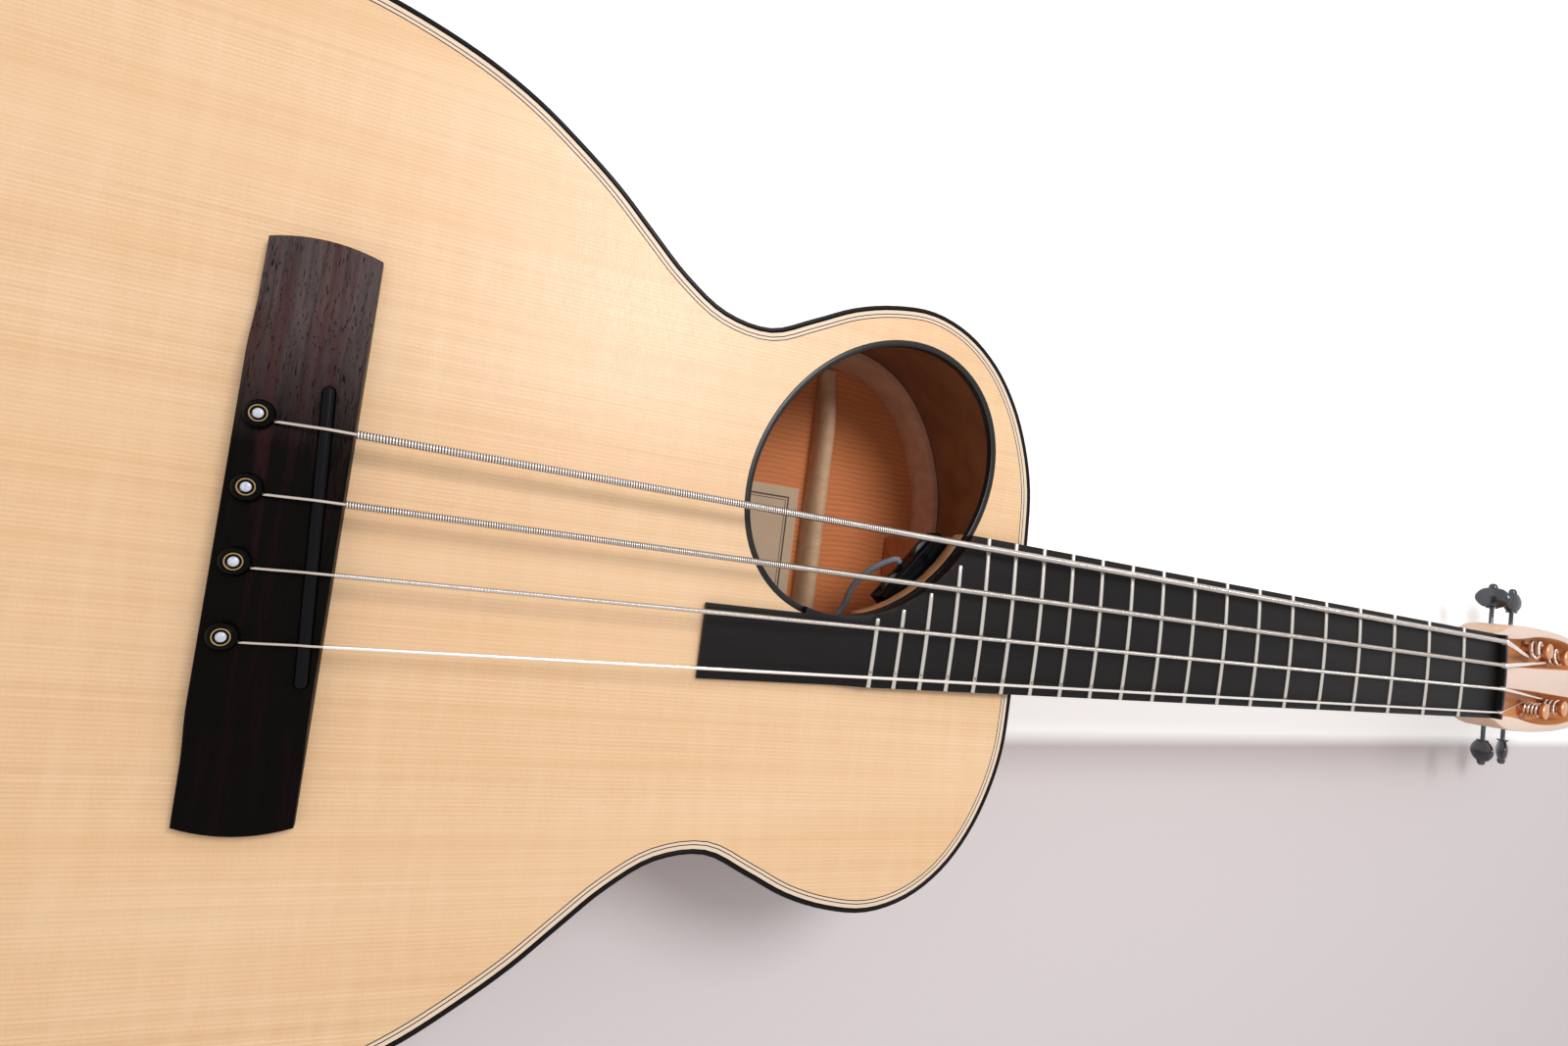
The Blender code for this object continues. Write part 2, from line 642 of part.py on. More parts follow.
def make_inner_plates():
    base = TOP_FACE - TOP_THICKNESS - SEAT
    front = NECK_END - SIDE_THICKNESS - SEAT - NECK_BLOCK_LENGTH - SEAT
    rear = HOLE_CENTRE_FROM_SADDLE - HOLE_LONG_RADIUS + BRACE_WIDTH
    half = NECK_BLOCK_WIDTH / 2
    shape = [(rear, -half), (front, -half), (front, half), (rear, half)]
    patch = piece("fretboard_patch", prism(shape, base - PATCH_THICKNESS, base), "mahogany")
    opening = prism(hole_outline(RIM_WIDTH), base - 2 * PATCH_THICKNESS, base + PATCH_THICKNESS)
    combine(patch, cutter("patch_opening", opening))
    reach = 2 * HOLE_SHORT_RADIUS
    spare = box((rear - reach, EXTENSION_EDGE, base - 2 * PATCH_THICKNESS),
                (HOLE_CENTRE_FROM_SADDLE, EXTENSION_EDGE + reach, base + PATCH_THICKNESS))
    combine(patch, cutter("patch_spare", spare))
    middle = BRIDGE_FRONT - BRIDGE_LENGTH * 0.6
    half = BRIDGE_WIDTH / 2 - BRIDGE_PLATE_INSET
    plate = box((middle - BRIDGE_PLATE_LENGTH / 2, -half, base - BRIDGE_PLATE_THICKNESS),
                (middle + BRIDGE_PLATE_LENGTH / 2, half, base))
    plate = piece("bridge_plate", plate, "maple")
    cut_pin_bores(plate, base - 2 * BRIDGE_PLATE_THICKNESS, base + BRIDGE_PLATE_THICKNESS)


# Bridge group


def saddle_place():
    """Middle of the saddle and its turn from the line across the body."""
    middle = Vector(((SADDLE_AT_BASS + SADDLE_AT_TREBLE) / 2, 0))
    turn = math.asin((SADDLE_AT_TREBLE - SADDLE_AT_BASS) / SADDLE_LENGTH)
    return middle, turn


def saddle_at(across):
    middle, turn = saddle_place()
    return middle.x - math.tan(turn) * across


def saddle_outline(grow=0.0):
    """A slim slot shape with round ends, laid across the body and turned to its slant."""
    middle, turn = saddle_place()
    radius = SADDLE_THICKNESS / 2 + grow
    straight = SADDLE_LENGTH / 2 - SADDLE_THICKNESS / 2
    points = []
    for end in (1, -1):
        for k in range(7):
            angle = math.pi * k / 6
            spot = Vector((end * radius * math.cos(angle), end * (straight + radius * math.sin(angle))))
            spot.rotate(Matrix.Rotation(turn, 2))
            points.append((middle.x + spot.x, spot.y))
    return points


def make_bridge():
    half, end = BRIDGE_WIDTH / 2, BRIDGE_END_BULGE
    rear = BRIDGE_FRONT - BRIDGE_LENGTH
    points = []
    for side in (1, -1):
        for k in range(9):
            share = k / 8 * 2 - 1
            x = (BRIDGE_FRONT + rear) / 2 - side * share * BRIDGE_LENGTH / 2
            points.append((x, side * (half - end * share ** 2)))
    bridge = piece("bridge", prism(points, BRIDGE_BASE, BRIDGE_TOP), "rosewood")
    drop = BRIDGE_HEIGHT - BRIDGE_END_HEIGHT
    for name, side in (("bass", 1), ("treble", -1)):
        scoop = []
        for k in range(7):
            share = k / 6
            y = BRIDGE_FLAT_WIDTH / 2 + BRIDGE_SCOOP_LENGTH * share
            scoop.append((y, BRIDGE_TOP - drop * (0.5 - 0.5 * math.cos(math.pi * share)) * 0.82))
        scoop.append((half + 2 * end, BRIDGE_TOP - drop))
        scoop.append((half + 2 * end, BRIDGE_TOP + drop))
        scoop.append((BRIDGE_FLAT_WIDTH / 2, BRIDGE_TOP + drop))
        rings = []
        for x in (rear - end, BRIDGE_FRONT + end):
            rings.append([(x, side * y, z) for y, z in scoop])
        combine(bridge, cutter("bridge_scoop_" + name, loft(rings)))
    slot = prism(saddle_outline(SEAT), BRIDGE_TOP - SADDLE_SLOT_DEPTH, BRIDGE_TOP + SADDLE_SLOT_DEPTH)
    combine(bridge, cutter("saddle_slot", slot))
    cut_pin_bores(bridge, BRIDGE_BASE - BRIDGE_HEIGHT, BRIDGE_TOP + BRIDGE_HEIGHT)


def make_saddle():
    outline = saddle_outline()
    low = BRIDGE_TOP - SADDLE_SLOT_DEPTH + SEAT
    saddle = piece("saddle", prism(outline, low, BRIDGE_TOP + SADDLE_PROUD), "ebony")
    bevel_edges(saddle, 0.0006)


def make_pins():
    for number in range(4):
        x, y = pin_place(number)
        head, shaft, tip = PIN_HEAD_DIAMETER / 2, PIN_SHAFT_DIAMETER / 2, PIN_TIP_DIAMETER / 2
        profile = [(tip * 0.7, -PIN_SHAFT_LENGTH), (tip, -PIN_SHAFT_LENGTH + 0.001), (shaft, SEAT),
                   (head * 0.86, SEAT), (head, SEAT + PIN_HEAD_HEIGHT * 0.25), (head, SEAT + PIN_HEAD_HEIGHT * 0.45),
                   (head * 0.82, SEAT + PIN_HEAD_HEIGHT * 0.78), (head * 0.45, SEAT + PIN_HEAD_HEIGHT),
                   (head * 0.10, SEAT + PIN_HEAD_HEIGHT)]
        place = Matrix.Translation((x, y, BRIDGE_TOP))
        piece("bridge_pin_%d" % (4 - number), turned(profile, 12), "black_plastic", place)


# Neck group


def board_half_width(x):
    slope = (BOARD_WIDTH_AT_LAST_FRET - NUT_WIDTH) / 2 / LAST_FRET_FROM_NUT
    return NUT_WIDTH / 2 + slope * max(0.0, SCALE_LENGTH - x)


def crown(y):
    """How far the fretboard's round top has dropped at a distance from the centre line."""
    return FRETBOARD_RADIUS - math.sqrt(FRETBOARD_RADIUS ** 2 - y ** 2)


def crowned_ring(x, half, low, high, steps=4):
    ring = [(x, -half, low)]
    for k in range(steps + 1):
        y = half * (2 * k / steps - 1)
        ring.append((x, y, high - crown(y)))
    ring.append((x, half, low))
    return ring


def fret_place(number):
    return SCALE_LENGTH * 2 ** (-number / 12)


def make_fretboard():
    low = TOP_FACE + SEAT
    ramp_start = SCALE_LENGTH - LAST_FRET_FROM_NUT - FRET_WIDTH
    flat = TOP_FACE + SEAT + EXTENSION_THICKNESS
    rings = [crowned_ring(SCALE_LENGTH - SEAT, board_half_width(SCALE_LENGTH), low, BOARD_TOP)]
    rings.append(crowned_ring(ramp_start, board_half_width(ramp_start), low, BOARD_TOP))
    for share in (0.3, 0.6, 0.85, 1.0):
        x = ramp_start - EXTENSION_RAMP * share
        top = flat + (BOARD_TOP - flat) * (1 - share) ** 1.8
        rings.append(crowned_ring(x, board_half_width(x), low, top))
    rings.append(crowned_ring(BOARD_END, board_half_width(BOARD_END), low, flat))
    board = piece("fretboard", loft(rings), "ebony")
    for number in range(1, FRET_COUNT + 1):
        x = fret_place(number)
        half = board_half_width(x) - SEAT
        top = BOARD_TOP + FRET_HEIGHT
        bar = [crowned_ring(x + FRET_WIDTH / 2, half, BOARD_TOP - FRET_ROOT - crown(half), top - FRET_HEIGHT * 0.7),
               crowned_ring(x + FRET_WIDTH * 0.22, half, BOARD_TOP - FRET_ROOT - crown(half), top),
               crowned_ring(x - FRET_WIDTH * 0.22, half, BOARD_TOP - FRET_ROOT - crown(half), top),
               crowned_ring(x - FRET_WIDTH / 2, half, BOARD_TOP - FRET_ROOT - crown(half), top - FRET_HEIGHT * 0.7)]
        combine(board, cutter("fret_%d" % number, loft(bar)), "UNION")
    opening = prism(hole_outline(RIM_WIDTH), TOP_FACE - TOP_THICKNESS, BOARD_TOP + FRET_HEIGHT * 3)
    combine(board, cutter("board_opening", opening))
    reach = 2 * HOLE_SHORT_RADIUS
    corner = box((BOARD_END - reach, EXTENSION_EDGE, TOP_FACE - TOP_THICKNESS),
                 (HOLE_CENTRE_FROM_SADDLE - HOLE_SHORT_RADIUS * 0.52, EXTENSION_EDGE + reach,
                  BOARD_TOP + FRET_HEIGHT * 3))
    combine(board, cutter("board_corner", corner))


def make_nut():
    low = TOP_FACE + SEAT
    half = NUT_WIDTH / 2
    rings = []
    for x, drop in ((SCALE_LENGTH, 0.0), (SCALE_LENGTH + NUT_THICKNESS * 0.55, 0.0003),
                    (NUT_BACK - SEAT, NUT_HEIGHT * 0.28)):
        rings.append(crowned_ring(x, half, low, low + NUT_HEIGHT - drop))
    nut = piece("nut", loft(rings), "ebony")
    for number in range(4):
        y = string_across(number, NUT_SPACING)
        half_slot = STRING_DIAMETERS[number] / 2 + SEAT
        floor = nut_string_height(number) - STRING_DIAMETERS[number] / 2 - SEAT
        rings = []
        for x, dip in ((SCALE_LENGTH - NUT_THICKNESS, 0.0), (SCALE_LENGTH, 0.0),
                       (NUT_BACK + NUT_THICKNESS, NUT_THICKNESS * 2 * math.tan(HEAD_TILT) * 1.9)):
            rings.append([(x, y - half_slot, floor - dip), (x, y + half_slot, floor - dip),
                          (x, y + half_slot, low + 2 * NUT_HEIGHT), (x, y - half_slot, low + 2 * NUT_HEIGHT)])
        combine(nut, cutter("nut_slot_%d" % number, loft(rings)))


def nut_string_height(number):
    """Height of a string's centre at the nut's front edge."""
    y = string_across(number, NUT_SPACING)
    return BOARD_TOP + FRET_HEIGHT - crown(y) + STRING_OVER_NUT + STRING_DIAMETERS[number] / 2


def head_matrix():
    """From the head's own frame to the instrument's: its face starts at the nut's back edge."""
    return Matrix.Translation((NUT_BACK, 0, TOP_FACE)) @ Matrix.Rotation(HEAD_TILT, 4, "Y")


def neck_section(x, depth, limit, heel):
    """One slice of the neck: a half round that squares and narrows into the heel."""
    half = board_half_width(x)
    power = 1.0 - 0.42 * heel
    ring = []
    for k in range(17):
        angle = math.pi * k / 16
        across = math.cos(angle)
        down = abs(math.sin(angle)) ** power
        narrow = 1 - (1 - HEEL_CAP_WIDTH / 2 / half) * heel * 1.05 * down ** 0.9
        y = half * math.copysign(abs(across) ** power, across) * narrow
        ring.append((x, y, TOP_FACE - min(depth * down, limit)))
    return ring


def make_neck():
    limit = BODY_DEPTH - HEEL_CAP_THICKNESS - SEAT
    start = NECK_END + SEAT
    heel_end = start + HEEL_LENGTH
    rings = []
    for share in (0.0, 0.5, 1.0):
        rings.append(neck_section(start + HEEL_FLAT * share, limit * 1.03, limit, 1.0))
    for share in (0.10, 0.22, 0.36, 0.52, 0.72, 0.88, 1.0):
        x = start + HEEL_FLAT + (heel_end - start - HEEL_FLAT) * share
        left = (1 - share) ** 2.6
        depth = NECK_DEPTH_AT_HEEL + (limit * 1.03 - NECK_DEPTH_AT_HEEL) * left
        rings.append(neck_section(x, depth, limit, left ** 0.7))
    volute = SCALE_LENGTH - VOLUTE_LENGTH
    rings.append(neck_section(volute, NECK_DEPTH_AT_NUT, limit, 0.0))
    for share in (0.35, 0.7, 1.0):
        x = volute + (NUT_BACK - volute) * share
        depth = NECK_DEPTH_AT_NUT + (HEAD_THICKNESS * 1.06 - NECK_DEPTH_AT_NUT) * share ** 2
        rings.append(neck_section(x, depth, limit, 0.0))
    neck = piece("neck", loft(rings), "maple")
    combine(neck, head_slab(), "UNION")
    for name, side in (("bass", 1), ("treble", -1)):
        combine(neck, cutter("trough_" + name, prism(trough_outline(side), TROUGH_FLOOR, TROUGH_DEPTH),
                             head_matrix()))
    for number in range(4):
        along, across = post_place(number)
        bore = turned([(POST_DIAMETER / 2 + RUNNING_GAP, -HEAD_THICKNESS * 2), (POST_DIAMETER / 2 + RUNNING_GAP, 0)], 16)
        combine(neck, cutter("post_bore_%d" % number, bore, head_matrix() @ Matrix.Translation((along, across, 0))))
    rod_low = TOP_FACE - ROD_HEIGHT - SEAT
    channel = box((start + ROD_END_GAP - SEAT, -ROD_WIDTH / 2 - SEAT, rod_low - SEAT),
                  (SCALE_LENGTH - ROD_END_GAP + SEAT, ROD_WIDTH / 2 + SEAT, TOP_FACE + ROD_HEIGHT))
    combine(neck, cutter("rod_channel", channel))
    rod = box((start + ROD_END_GAP, -ROD_WIDTH / 2, rod_low), (SCALE_LENGTH - ROD_END_GAP, ROD_WIDTH / 2, TOP_FACE - SEAT))
    piece("truss_rod", rod, "steel")


def head_slab():
    """The head's outline as a slab under its face, with a shallow round end."""
    points = [(along, half) for along, half in HEAD_HALF_WIDTHS]
    points[0] = (-HEAD_LAP, points[0][1])
    end_half = points[-1][1] - 0.002
    for k in range(1, 4):
        angle = math.pi / 2 * k / 4
        points.append((HEAD_LENGTH - 0.002 - HEAD_CORNER + HEAD_CORNER * math.sin(angle),
                       end_half - HEAD_CORNER + HEAD_CORNER * math.cos(angle)))
    points.append((HEAD_LENGTH - 0.002, end_half - HEAD_CORNER))
    points.append((HEAD_LENGTH, 0.0))
    mirrored = [(along, -half) for along, half in reversed(points[:-1])]
    return cutter("head_slab", prism(points + mirrored, -HEAD_THICKNESS, 0.0), head_matrix())


def trough_outline(side):
    """A recess beside the head's middle strip, open at the nut and round at its far end."""
    outer, inner = list(TROUGH_OUTER), list(TROUGH_INNER)
    middle = (outer[-1][1] + inner[0][1]) / 2
    half = (outer[-1][1] - inner[0][1]) / 2
    points = [(-0.001, outer[0][1])] + outer
    for k in range(1, 6):
        angle = math.pi * k / 6
        points.append((outer[-1][0] + TROUGH_END * math.sin(angle), middle + half * math.cos(angle)))
    points += inner + [(-0.001, inner[-1][1])]
    return [(along, side * across) for along, across in points]


def make_heel_cap():
    start = NECK_END + SEAT
    half = HEEL_CAP_WIDTH / 2
    points = [(start, half)]
    for k in range(9):
        angle = math.pi / 2 - math.pi * k / 8
        points.append((start + HEEL_CAP_LENGTH - half + half * math.cos(angle), half * math.sin(angle)))
    points.append((start, -half))
    piece("heel_cap", prism(points, 0.0, HEEL_CAP_THICKNESS - SEAT), "ebony")


# Tuning machines


def post_place(number):
    """Along and across the head: the outer strings take the near posts and the inner ones the far posts."""
    side = 1 if number < 2 else -1
    if number in (0, 3):
        return NEAR_POST_AT, side * NEAR_POST_ACROSS
    return FAR_POST_AT, side * FAR_POST_ACROSS


def gear_outline(radius, teeth):
    """Straight-sided teeth with a gap centred on the side that faces the worm."""
    root, tip = radius - THREAD_RISE - RUNNING_GAP, radius + THREAD_FALL - RUNNING_GAP
    points = []
    for tooth in range(teeth):
        middle = math.pi + 2 * math.pi * (tooth + 0.5) / teeth
        step = 2 * math.pi / teeth
        for reach, share in ((root, -0.25), (tip, -0.11), (tip, 0.11), (root, 0.25)):
            angle = middle + step * share
            points.append(Vector((reach * math.cos(angle), reach * math.sin(angle), 0)))
    return points


def make_gear(number):
    """A worm wheel: its teeth lean by the worm's lead, and its bore sits on the post's end."""
    lean = WORM_PITCH / (2 * math.pi * WORM_PITCH_RADIUS) / GEAR_RADIUS
    bore_radius = POST_DIAMETER / 2 - 0.0006
    bm = bmesh.new()
    loops = []
    for height in (-GEAR_THICKNESS / 2, GEAR_THICKNESS / 2):
        turn = Matrix.Rotation(lean * height, 3, "Z")
        outer = [bm.verts.new(turn @ point + Vector((0, 0, height))) for point in gear_outline(GEAR_RADIUS, GEAR_TEETH)]
        inner = []
        for k in range(GEAR_TEETH):
            angle = math.pi + 2 * math.pi * (k + 0.5) / GEAR_TEETH + lean * height
            inner.append(bm.verts.new((bore_radius * math.cos(angle), bore_radius * math.sin(angle), height)))
        loops.append((outer, inner))
    (low_outer, low_inner), (high_outer, high_inner) = loops
    for ring_low, ring_high in ((low_outer, high_outer), (low_inner, high_inner)):
        for k in range(len(ring_low)):
            j = (k + 1) % len(ring_low)
            bm.faces.new((ring_low[k], ring_low[j], ring_high[j], ring_high[k]))
    for outer, inner in loops:
        for k in range(GEAR_TEETH):
            j = (k + 1) % GEAR_TEETH
            tooth = outer[4 * k:4 * k + 4]
            bm.faces.new(tooth + [inner[k]])
            bm.faces.new((outer[4 * k + 3], outer[4 * j], inner[j], inner[k]))
    along, across = post_place(number)
    place = head_matrix() @ Matrix.Translation((along, across, WORM_HEIGHT))
    piece("tuner_gear_%d" % (4 - number), bm, "brass", place)


def make_post(number):
    """Post with its flange in the recess, a round cap on top and a screw under the gear."""
    radius = POST_DIAMETER / 2
    end = radius - 0.0006 - SEAT
    gear_top = WORM_HEIGHT + GEAR_THICKNESS / 2 + SEAT
    gear_low = WORM_HEIGHT - GEAR_THICKNESS / 2 - SEAT
    flange_low = TROUGH_FLOOR + RUNNING_GAP
    flange_high = flange_low + POST_FLANGE_HEIGHT
    cap, screw = POST_CAP_DIAMETER / 2, GEAR_SCREW_DIAMETER / 2
    cap_low = 0.0004 - POST_CAP_HEIGHT
    profile = [(screw * 0.8, gear_low - GEAR_SCREW_HEIGHT), (screw, gear_low - GEAR_SCREW_HEIGHT * 0.7),
               (screw, gear_low), (end, gear_low), (end, gear_top), (radius, gear_top), (radius, flange_low),
               (cap * 0.95, flange_low), (cap * 0.95, flange_high), (radius, flange_high), (radius, cap_low),
               (cap * 0.86, cap_low), (cap, cap_low + POST_CAP_HEIGHT * 0.25),
               (cap, cap_low + POST_CAP_HEIGHT * 0.62), (cap * 0.72, cap_low + POST_CAP_HEIGHT * 0.94),
               (cap * 0.3, cap_low + POST_CAP_HEIGHT)]
    along, across = post_place(number)
    place = head_matrix() @ Matrix.Translation((along, across, 0))
    piece("tuner_post_%d" % (4 - number), turned(profile, 10), "copper", place)


def key_matrix(number):
    """Worm frame: its Z runs outwards along the key, and the gear lies at the mesh angle."""
    along, across = post_place(number)
    side = math.copysign(1, across)
    turn = Matrix(((0, 1, 0), (0, 0, 1), (1, 0, 0))) if side > 0 else Matrix(((1, 0, 0), (0, 0, -1), (0, 1, 0)))
    return head_matrix() @ Matrix.Translation((along - WORM_TO_POST, across, WORM_HEIGHT)) @ turn.to_4x4()


def mesh_angle(number):
    return math.pi / 2 if number < 2 else 0.0


def thread_height(share):
    """Rise of the worm's thread at a share of its pitch from the crest's middle."""
    away = abs((share + 0.5) % 1.0 - 0.5)
    if away < 0.09:
        return 1.0
    return max(0.0, 1.0 - (away - 0.09) / 0.13)


def make_shaft(number):
    """Key shaft with its worm between the lugs and a plain stem out to the button."""
    radius, root = SHAFT_DIAMETER / 2, WORM_PITCH_RADIUS - THREAD_FALL
    rise = THREAD_RISE + THREAD_FALL
    _, across = post_place(number)
    stem_end = BUTTON_FROM_CENTRE - abs(across) + BUTTON_LENGTH * 0.45
    inner_end = -(LUG_GAP / 2 + LUG_THICKNESS + 0.0008)
    steps, sides = 18, 10
    rings = []

    def ring(height, reach):
        return [(reach(2 * math.pi * k / sides, height) * math.cos(2 * math.pi * k / sides),
                 reach(2 * math.pi * k / sides, height) * math.sin(2 * math.pi * k / sides), height)
                for k in range(sides)]

    rings.append(ring(inner_end, lambda angle, height: radius))
    rings.append(ring(-WORM_LENGTH / 2 - 0.0002, lambda angle, height: radius))
    for k in range(steps + 1):
        height = WORM_LENGTH * (k / steps - 0.5)
        fade = min(1.0, min(k, steps - k) / 2)
        rings.append(ring(height, lambda angle, z: root + fade * rise * thread_height(
            z / WORM_PITCH - (angle - mesh_angle(number)) / (2 * math.pi))))
    rings.append(ring(WORM_LENGTH / 2 + 0.0002, lambda angle, height: radius))
    rings.append(ring(stem_end, lambda angle, height: radius))
    piece("tuner_shaft_%d" % (4 - number), loft(rings), "black_metal", key_matrix(number))


def make_button(number):
    """Oval key button, flat to the shaft's line, with a small round pip at its tip."""
    _, across = post_place(number)
    start = BUTTON_FROM_CENTRE - abs(across)
    steps = 10
    rings = []
    collar = SHAFT_DIAMETER / 2 + 0.0014
    rows = [(0.0, collar, collar), (0.05, collar, collar)]
    for k in range(1, 8):
        share = k / 8
        bulge = math.sin(math.pi * (0.10 + 0.80 * share)) ** 0.62
        rows.append((0.06 + 0.90 * share, BUTTON_HEIGHT / 2 * bulge, BUTTON_THICKNESS / 2 * bulge ** 0.7))
    rows.append((0.97, BUTTON_PIP, BUTTON_PIP * 0.9))
    rows.append((1.0 + BUTTON_PIP / BUTTON_LENGTH * 0.6, BUTTON_PIP * 0.95, BUTTON_PIP * 0.85))
    rows.append((1.0 + BUTTON_PIP / BUTTON_LENGTH, BUTTON_PIP * 0.4, BUTTON_PIP * 0.4))
    for share, tall, thick in rows:
        ring = []
        for k in range(steps):
            angle = 2 * math.pi * k / steps
            ring.append((tall * math.cos(angle), thick * math.sin(angle), start + BUTTON_LENGTH * share))
        rings.append(ring)
    bm = loft(rings)
    side_turn = 0.0 if number < 2 else math.pi / 2
    bmesh.ops.rotate(bm, verts=bm.verts, matrix=Matrix.Rotation(BUTTON_REST_TURNS[number] + side_turn, 3, "Z"))
    button = piece("tuner_button_%d" % (4 - number), bm, "black_plastic", key_matrix(number))
    bore_end = start + BUTTON_LENGTH * 0.45 + SEAT
    bore = turned([(SHAFT_DIAMETER / 2 + SEAT, start - BUTTON_LENGTH), (SHAFT_DIAMETER / 2 + SEAT, bore_end)], 12)
    combine(button, cutter("button_bore_%d" % number, bore, key_matrix(number)))


def make_plate(number):
    """Base plate on the head's back with two lugs that carry the worm shaft."""
    along, across = post_place(number)
    low, high = PLATE_FACE - PLATE_THICKNESS, PLATE_FACE
    worm_at = along - WORM_TO_POST
    lug_half = SHAFT_DIAMETER / 2 + 0.0022
    reach = LUG_GAP / 2 + LUG_THICKNESS
    body = box((worm_at - lug_half, across - reach, low), (along + POST_DIAMETER, across + reach, high))
    plate = piece("tuner_plate_%d" % (4 - number), body, "black_metal", head_matrix())
    for end in (-1, 1):
        near = across + end * LUG_GAP / 2
        far = across + end * reach
        lug = box((worm_at - lug_half, min(near, far), WORM_HEIGHT - lug_half),
                  (worm_at + lug_half, max(near, far), low + PLATE_THICKNESS / 2))
        combine(plate, cutter("lug_%d_%d" % (number, end + 1), lug, head_matrix()), "UNION")
    bore = turned([(SHAFT_DIAMETER / 2 + RUNNING_GAP, -2 * reach), (SHAFT_DIAMETER / 2 + RUNNING_GAP, 2 * reach)], 12)
    combine(plate, cutter("lug_bore_%d" % number, bore, key_matrix(number)))
    hole = turned([(POST_DIAMETER / 2 + RUNNING_GAP, WORM_HEIGHT), (POST_DIAMETER / 2 + RUNNING_GAP, 0)], 16)
    combine(plate, cutter("plate_hole_%d" % number, hole, head_matrix() @ Matrix.Translation((along, across, 0))))


# Strings


def head_point(along, across, height):
    return head_matrix() @ Vector((along, across, height))


def string_route(number):
    """Points and radii of one string, from its ball under the bridge plate to the end of its winding."""
    core, full = CORE_DIAMETERS[number] / 2, STRING_DIAMETERS[number] / 2
    pin_x, pin_y = pin_place(number)
    x = pin_x + string_hole_offset(number)
    plate_low = TOP_FACE - TOP_THICKNESS - SEAT - BRIDGE_PLATE_THICKNESS
    ball = BALL_DIAMETER / 2
    saddle_y = string_across(number, SADDLE_SPACING)
    saddle_x = saddle_at(saddle_y)
    over = BRIDGE_TOP + SADDLE_PROUD + SEAT + core
    ball_x = pin_x + PIN_SHAFT_DIAMETER / 2 + SEAT + ball
    points = [Vector((ball_x, pin_y, plate_low - SEAT - 2 * ball)), Vector((ball_x, pin_y, plate_low - SEAT - 1.7 * ball)),
              Vector((ball_x, pin_y, plate_low - SEAT - 0.3 * ball)), Vector((x, pin_y, plate_low - SEAT))]
    radii = [ball * 0.6, ball, ball, core]
    points += [Vector((x, pin_y, BRIDGE_TOP)), Vector((x + 0.0006, pin_y, BRIDGE_TOP + 0.0009))]
    radii += [core, core]
    points += [Vector((saddle_x - 0.0012, saddle_y, over - 0.0001)), Vector((saddle_x + 0.0012, saddle_y, over))]
    radii += [core, core]
    nut_y = string_across(number, NUT_SPACING)
    nut_z = nut_string_height(number)
    start = points[-1]
    nut_front = Vector((SCALE_LENGTH, nut_y, nut_z))
    run = nut_front - start
    wrap = BRIDGE_FRONT + WRAP_START
    for distance, radius in ((wrap, core), (wrap + 0.0004, full)):
        points.append(start + run * ((distance - start.x) / run.x))
        radii.append(radius)
    for share in (0.25, 0.5, 0.75):
        points.append(start + run * share)
        radii.append(full)
    points += [nut_front, Vector((SCALE_LENGTH + NUT_THICKNESS * 0.45, nut_y, nut_z - 0.0002))]
    radii += [full, full]
    winding = winding_points(number)
    points += winding
    radii += [full] * len(winding)
    return points, radii


def winding_points(number):
    """The string's run on to its post and its turns up the post, as one helix."""
    full = STRING_DIAMETERS[number] / 2
    along, across = post_place(number)
    side = math.copysign(1, across)
    reach = POST_DIAMETER / 2 + SEAT + full
    pitch = 2 * full + TURN_GAP
    base = TROUGH_FLOOR + RUNNING_GAP + POST_FLANGE_HEIGHT + SEAT + full
    turns = STRING_TURNS[number]
    steps = round(TURN_STEPS * turns)
    points = [head_point(along - 2 * full, across - side * reach, base)]
    for k in range(steps + 1):
        angle = -side * math.pi / 2 + side * 2 * math.pi * turns * k / steps
        points.append(head_point(along + reach * math.cos(angle), across + reach * math.sin(angle),
                                 base + pitch * turns * k / steps))
    last, before = points[-1], points[-2]
    points.append(last + (last - before).normalized() * 2 * full)
    return points


def least_turn_gap(number):
    """Least gap between two turns of a winding, measured on its points."""
    points = winding_points(number)
    apart = []
    for k, point in enumerate(points):
        for other in points[k + TURN_STEPS // 2 + 1:]:
            apart.append((point - other).length)
    return min(apart) - STRING_DIAMETERS[number]


def make_strings():
    for number in range(4):
        points, radii = string_route(number)
        tube("string_%d" % (4 - number), points, radii, "steel", sides=1)
        print("string_%d least gap between turns: %.2f mm" % (4 - number, least_turn_gap(number) * 1000))


# Control unit, cable and end jack


def unit_matrix():
    return Matrix.Translation((*UNIT_MIDDLE, UNIT_TOP - UNIT_HEIGHT / 2)) @ Matrix.Rotation(UNIT_TURN, 4, "Z")


def wheel_profile(grow):
    axle, rim = WHEEL_AXLE_DIAMETER / 2 + grow, WHEEL_DIAMETER / 2 + grow
    half = WHEEL_THICKNESS / 2 + grow
    stub = half + 0.0012
    return [(axle, -stub), (axle, -half), (rim, -half), (rim, half), (axle, half), (axle, stub)]


def make_control_unit():
    """A slim housing under the soundhole's edge with two thumbwheels reaching out of its front."""
    half = Vector((UNIT_LENGTH / 2, UNIT_WIDTH / 2, UNIT_HEIGHT / 2))
    unit = piece("control_unit", box(-half, half), "black_plastic", unit_matrix())
    for number, end in ((1, -1), (2, 1)):
        spot = Vector((end * WHEEL_SPACING / 2, UNIT_WIDTH / 2 - WHEEL_DIAMETER / 2 + WHEEL_PROUD, 0))
        place = unit_matrix() @ Matrix.Translation(spot)
        combine(unit, cutter("wheel_slot_%d" % number, turned(wheel_profile(RUNNING_GAP), 16), place))
        piece("thumbwheel_%d" % number, turned(wheel_profile(0.0), 16), "black_plastic", place)
    return unit


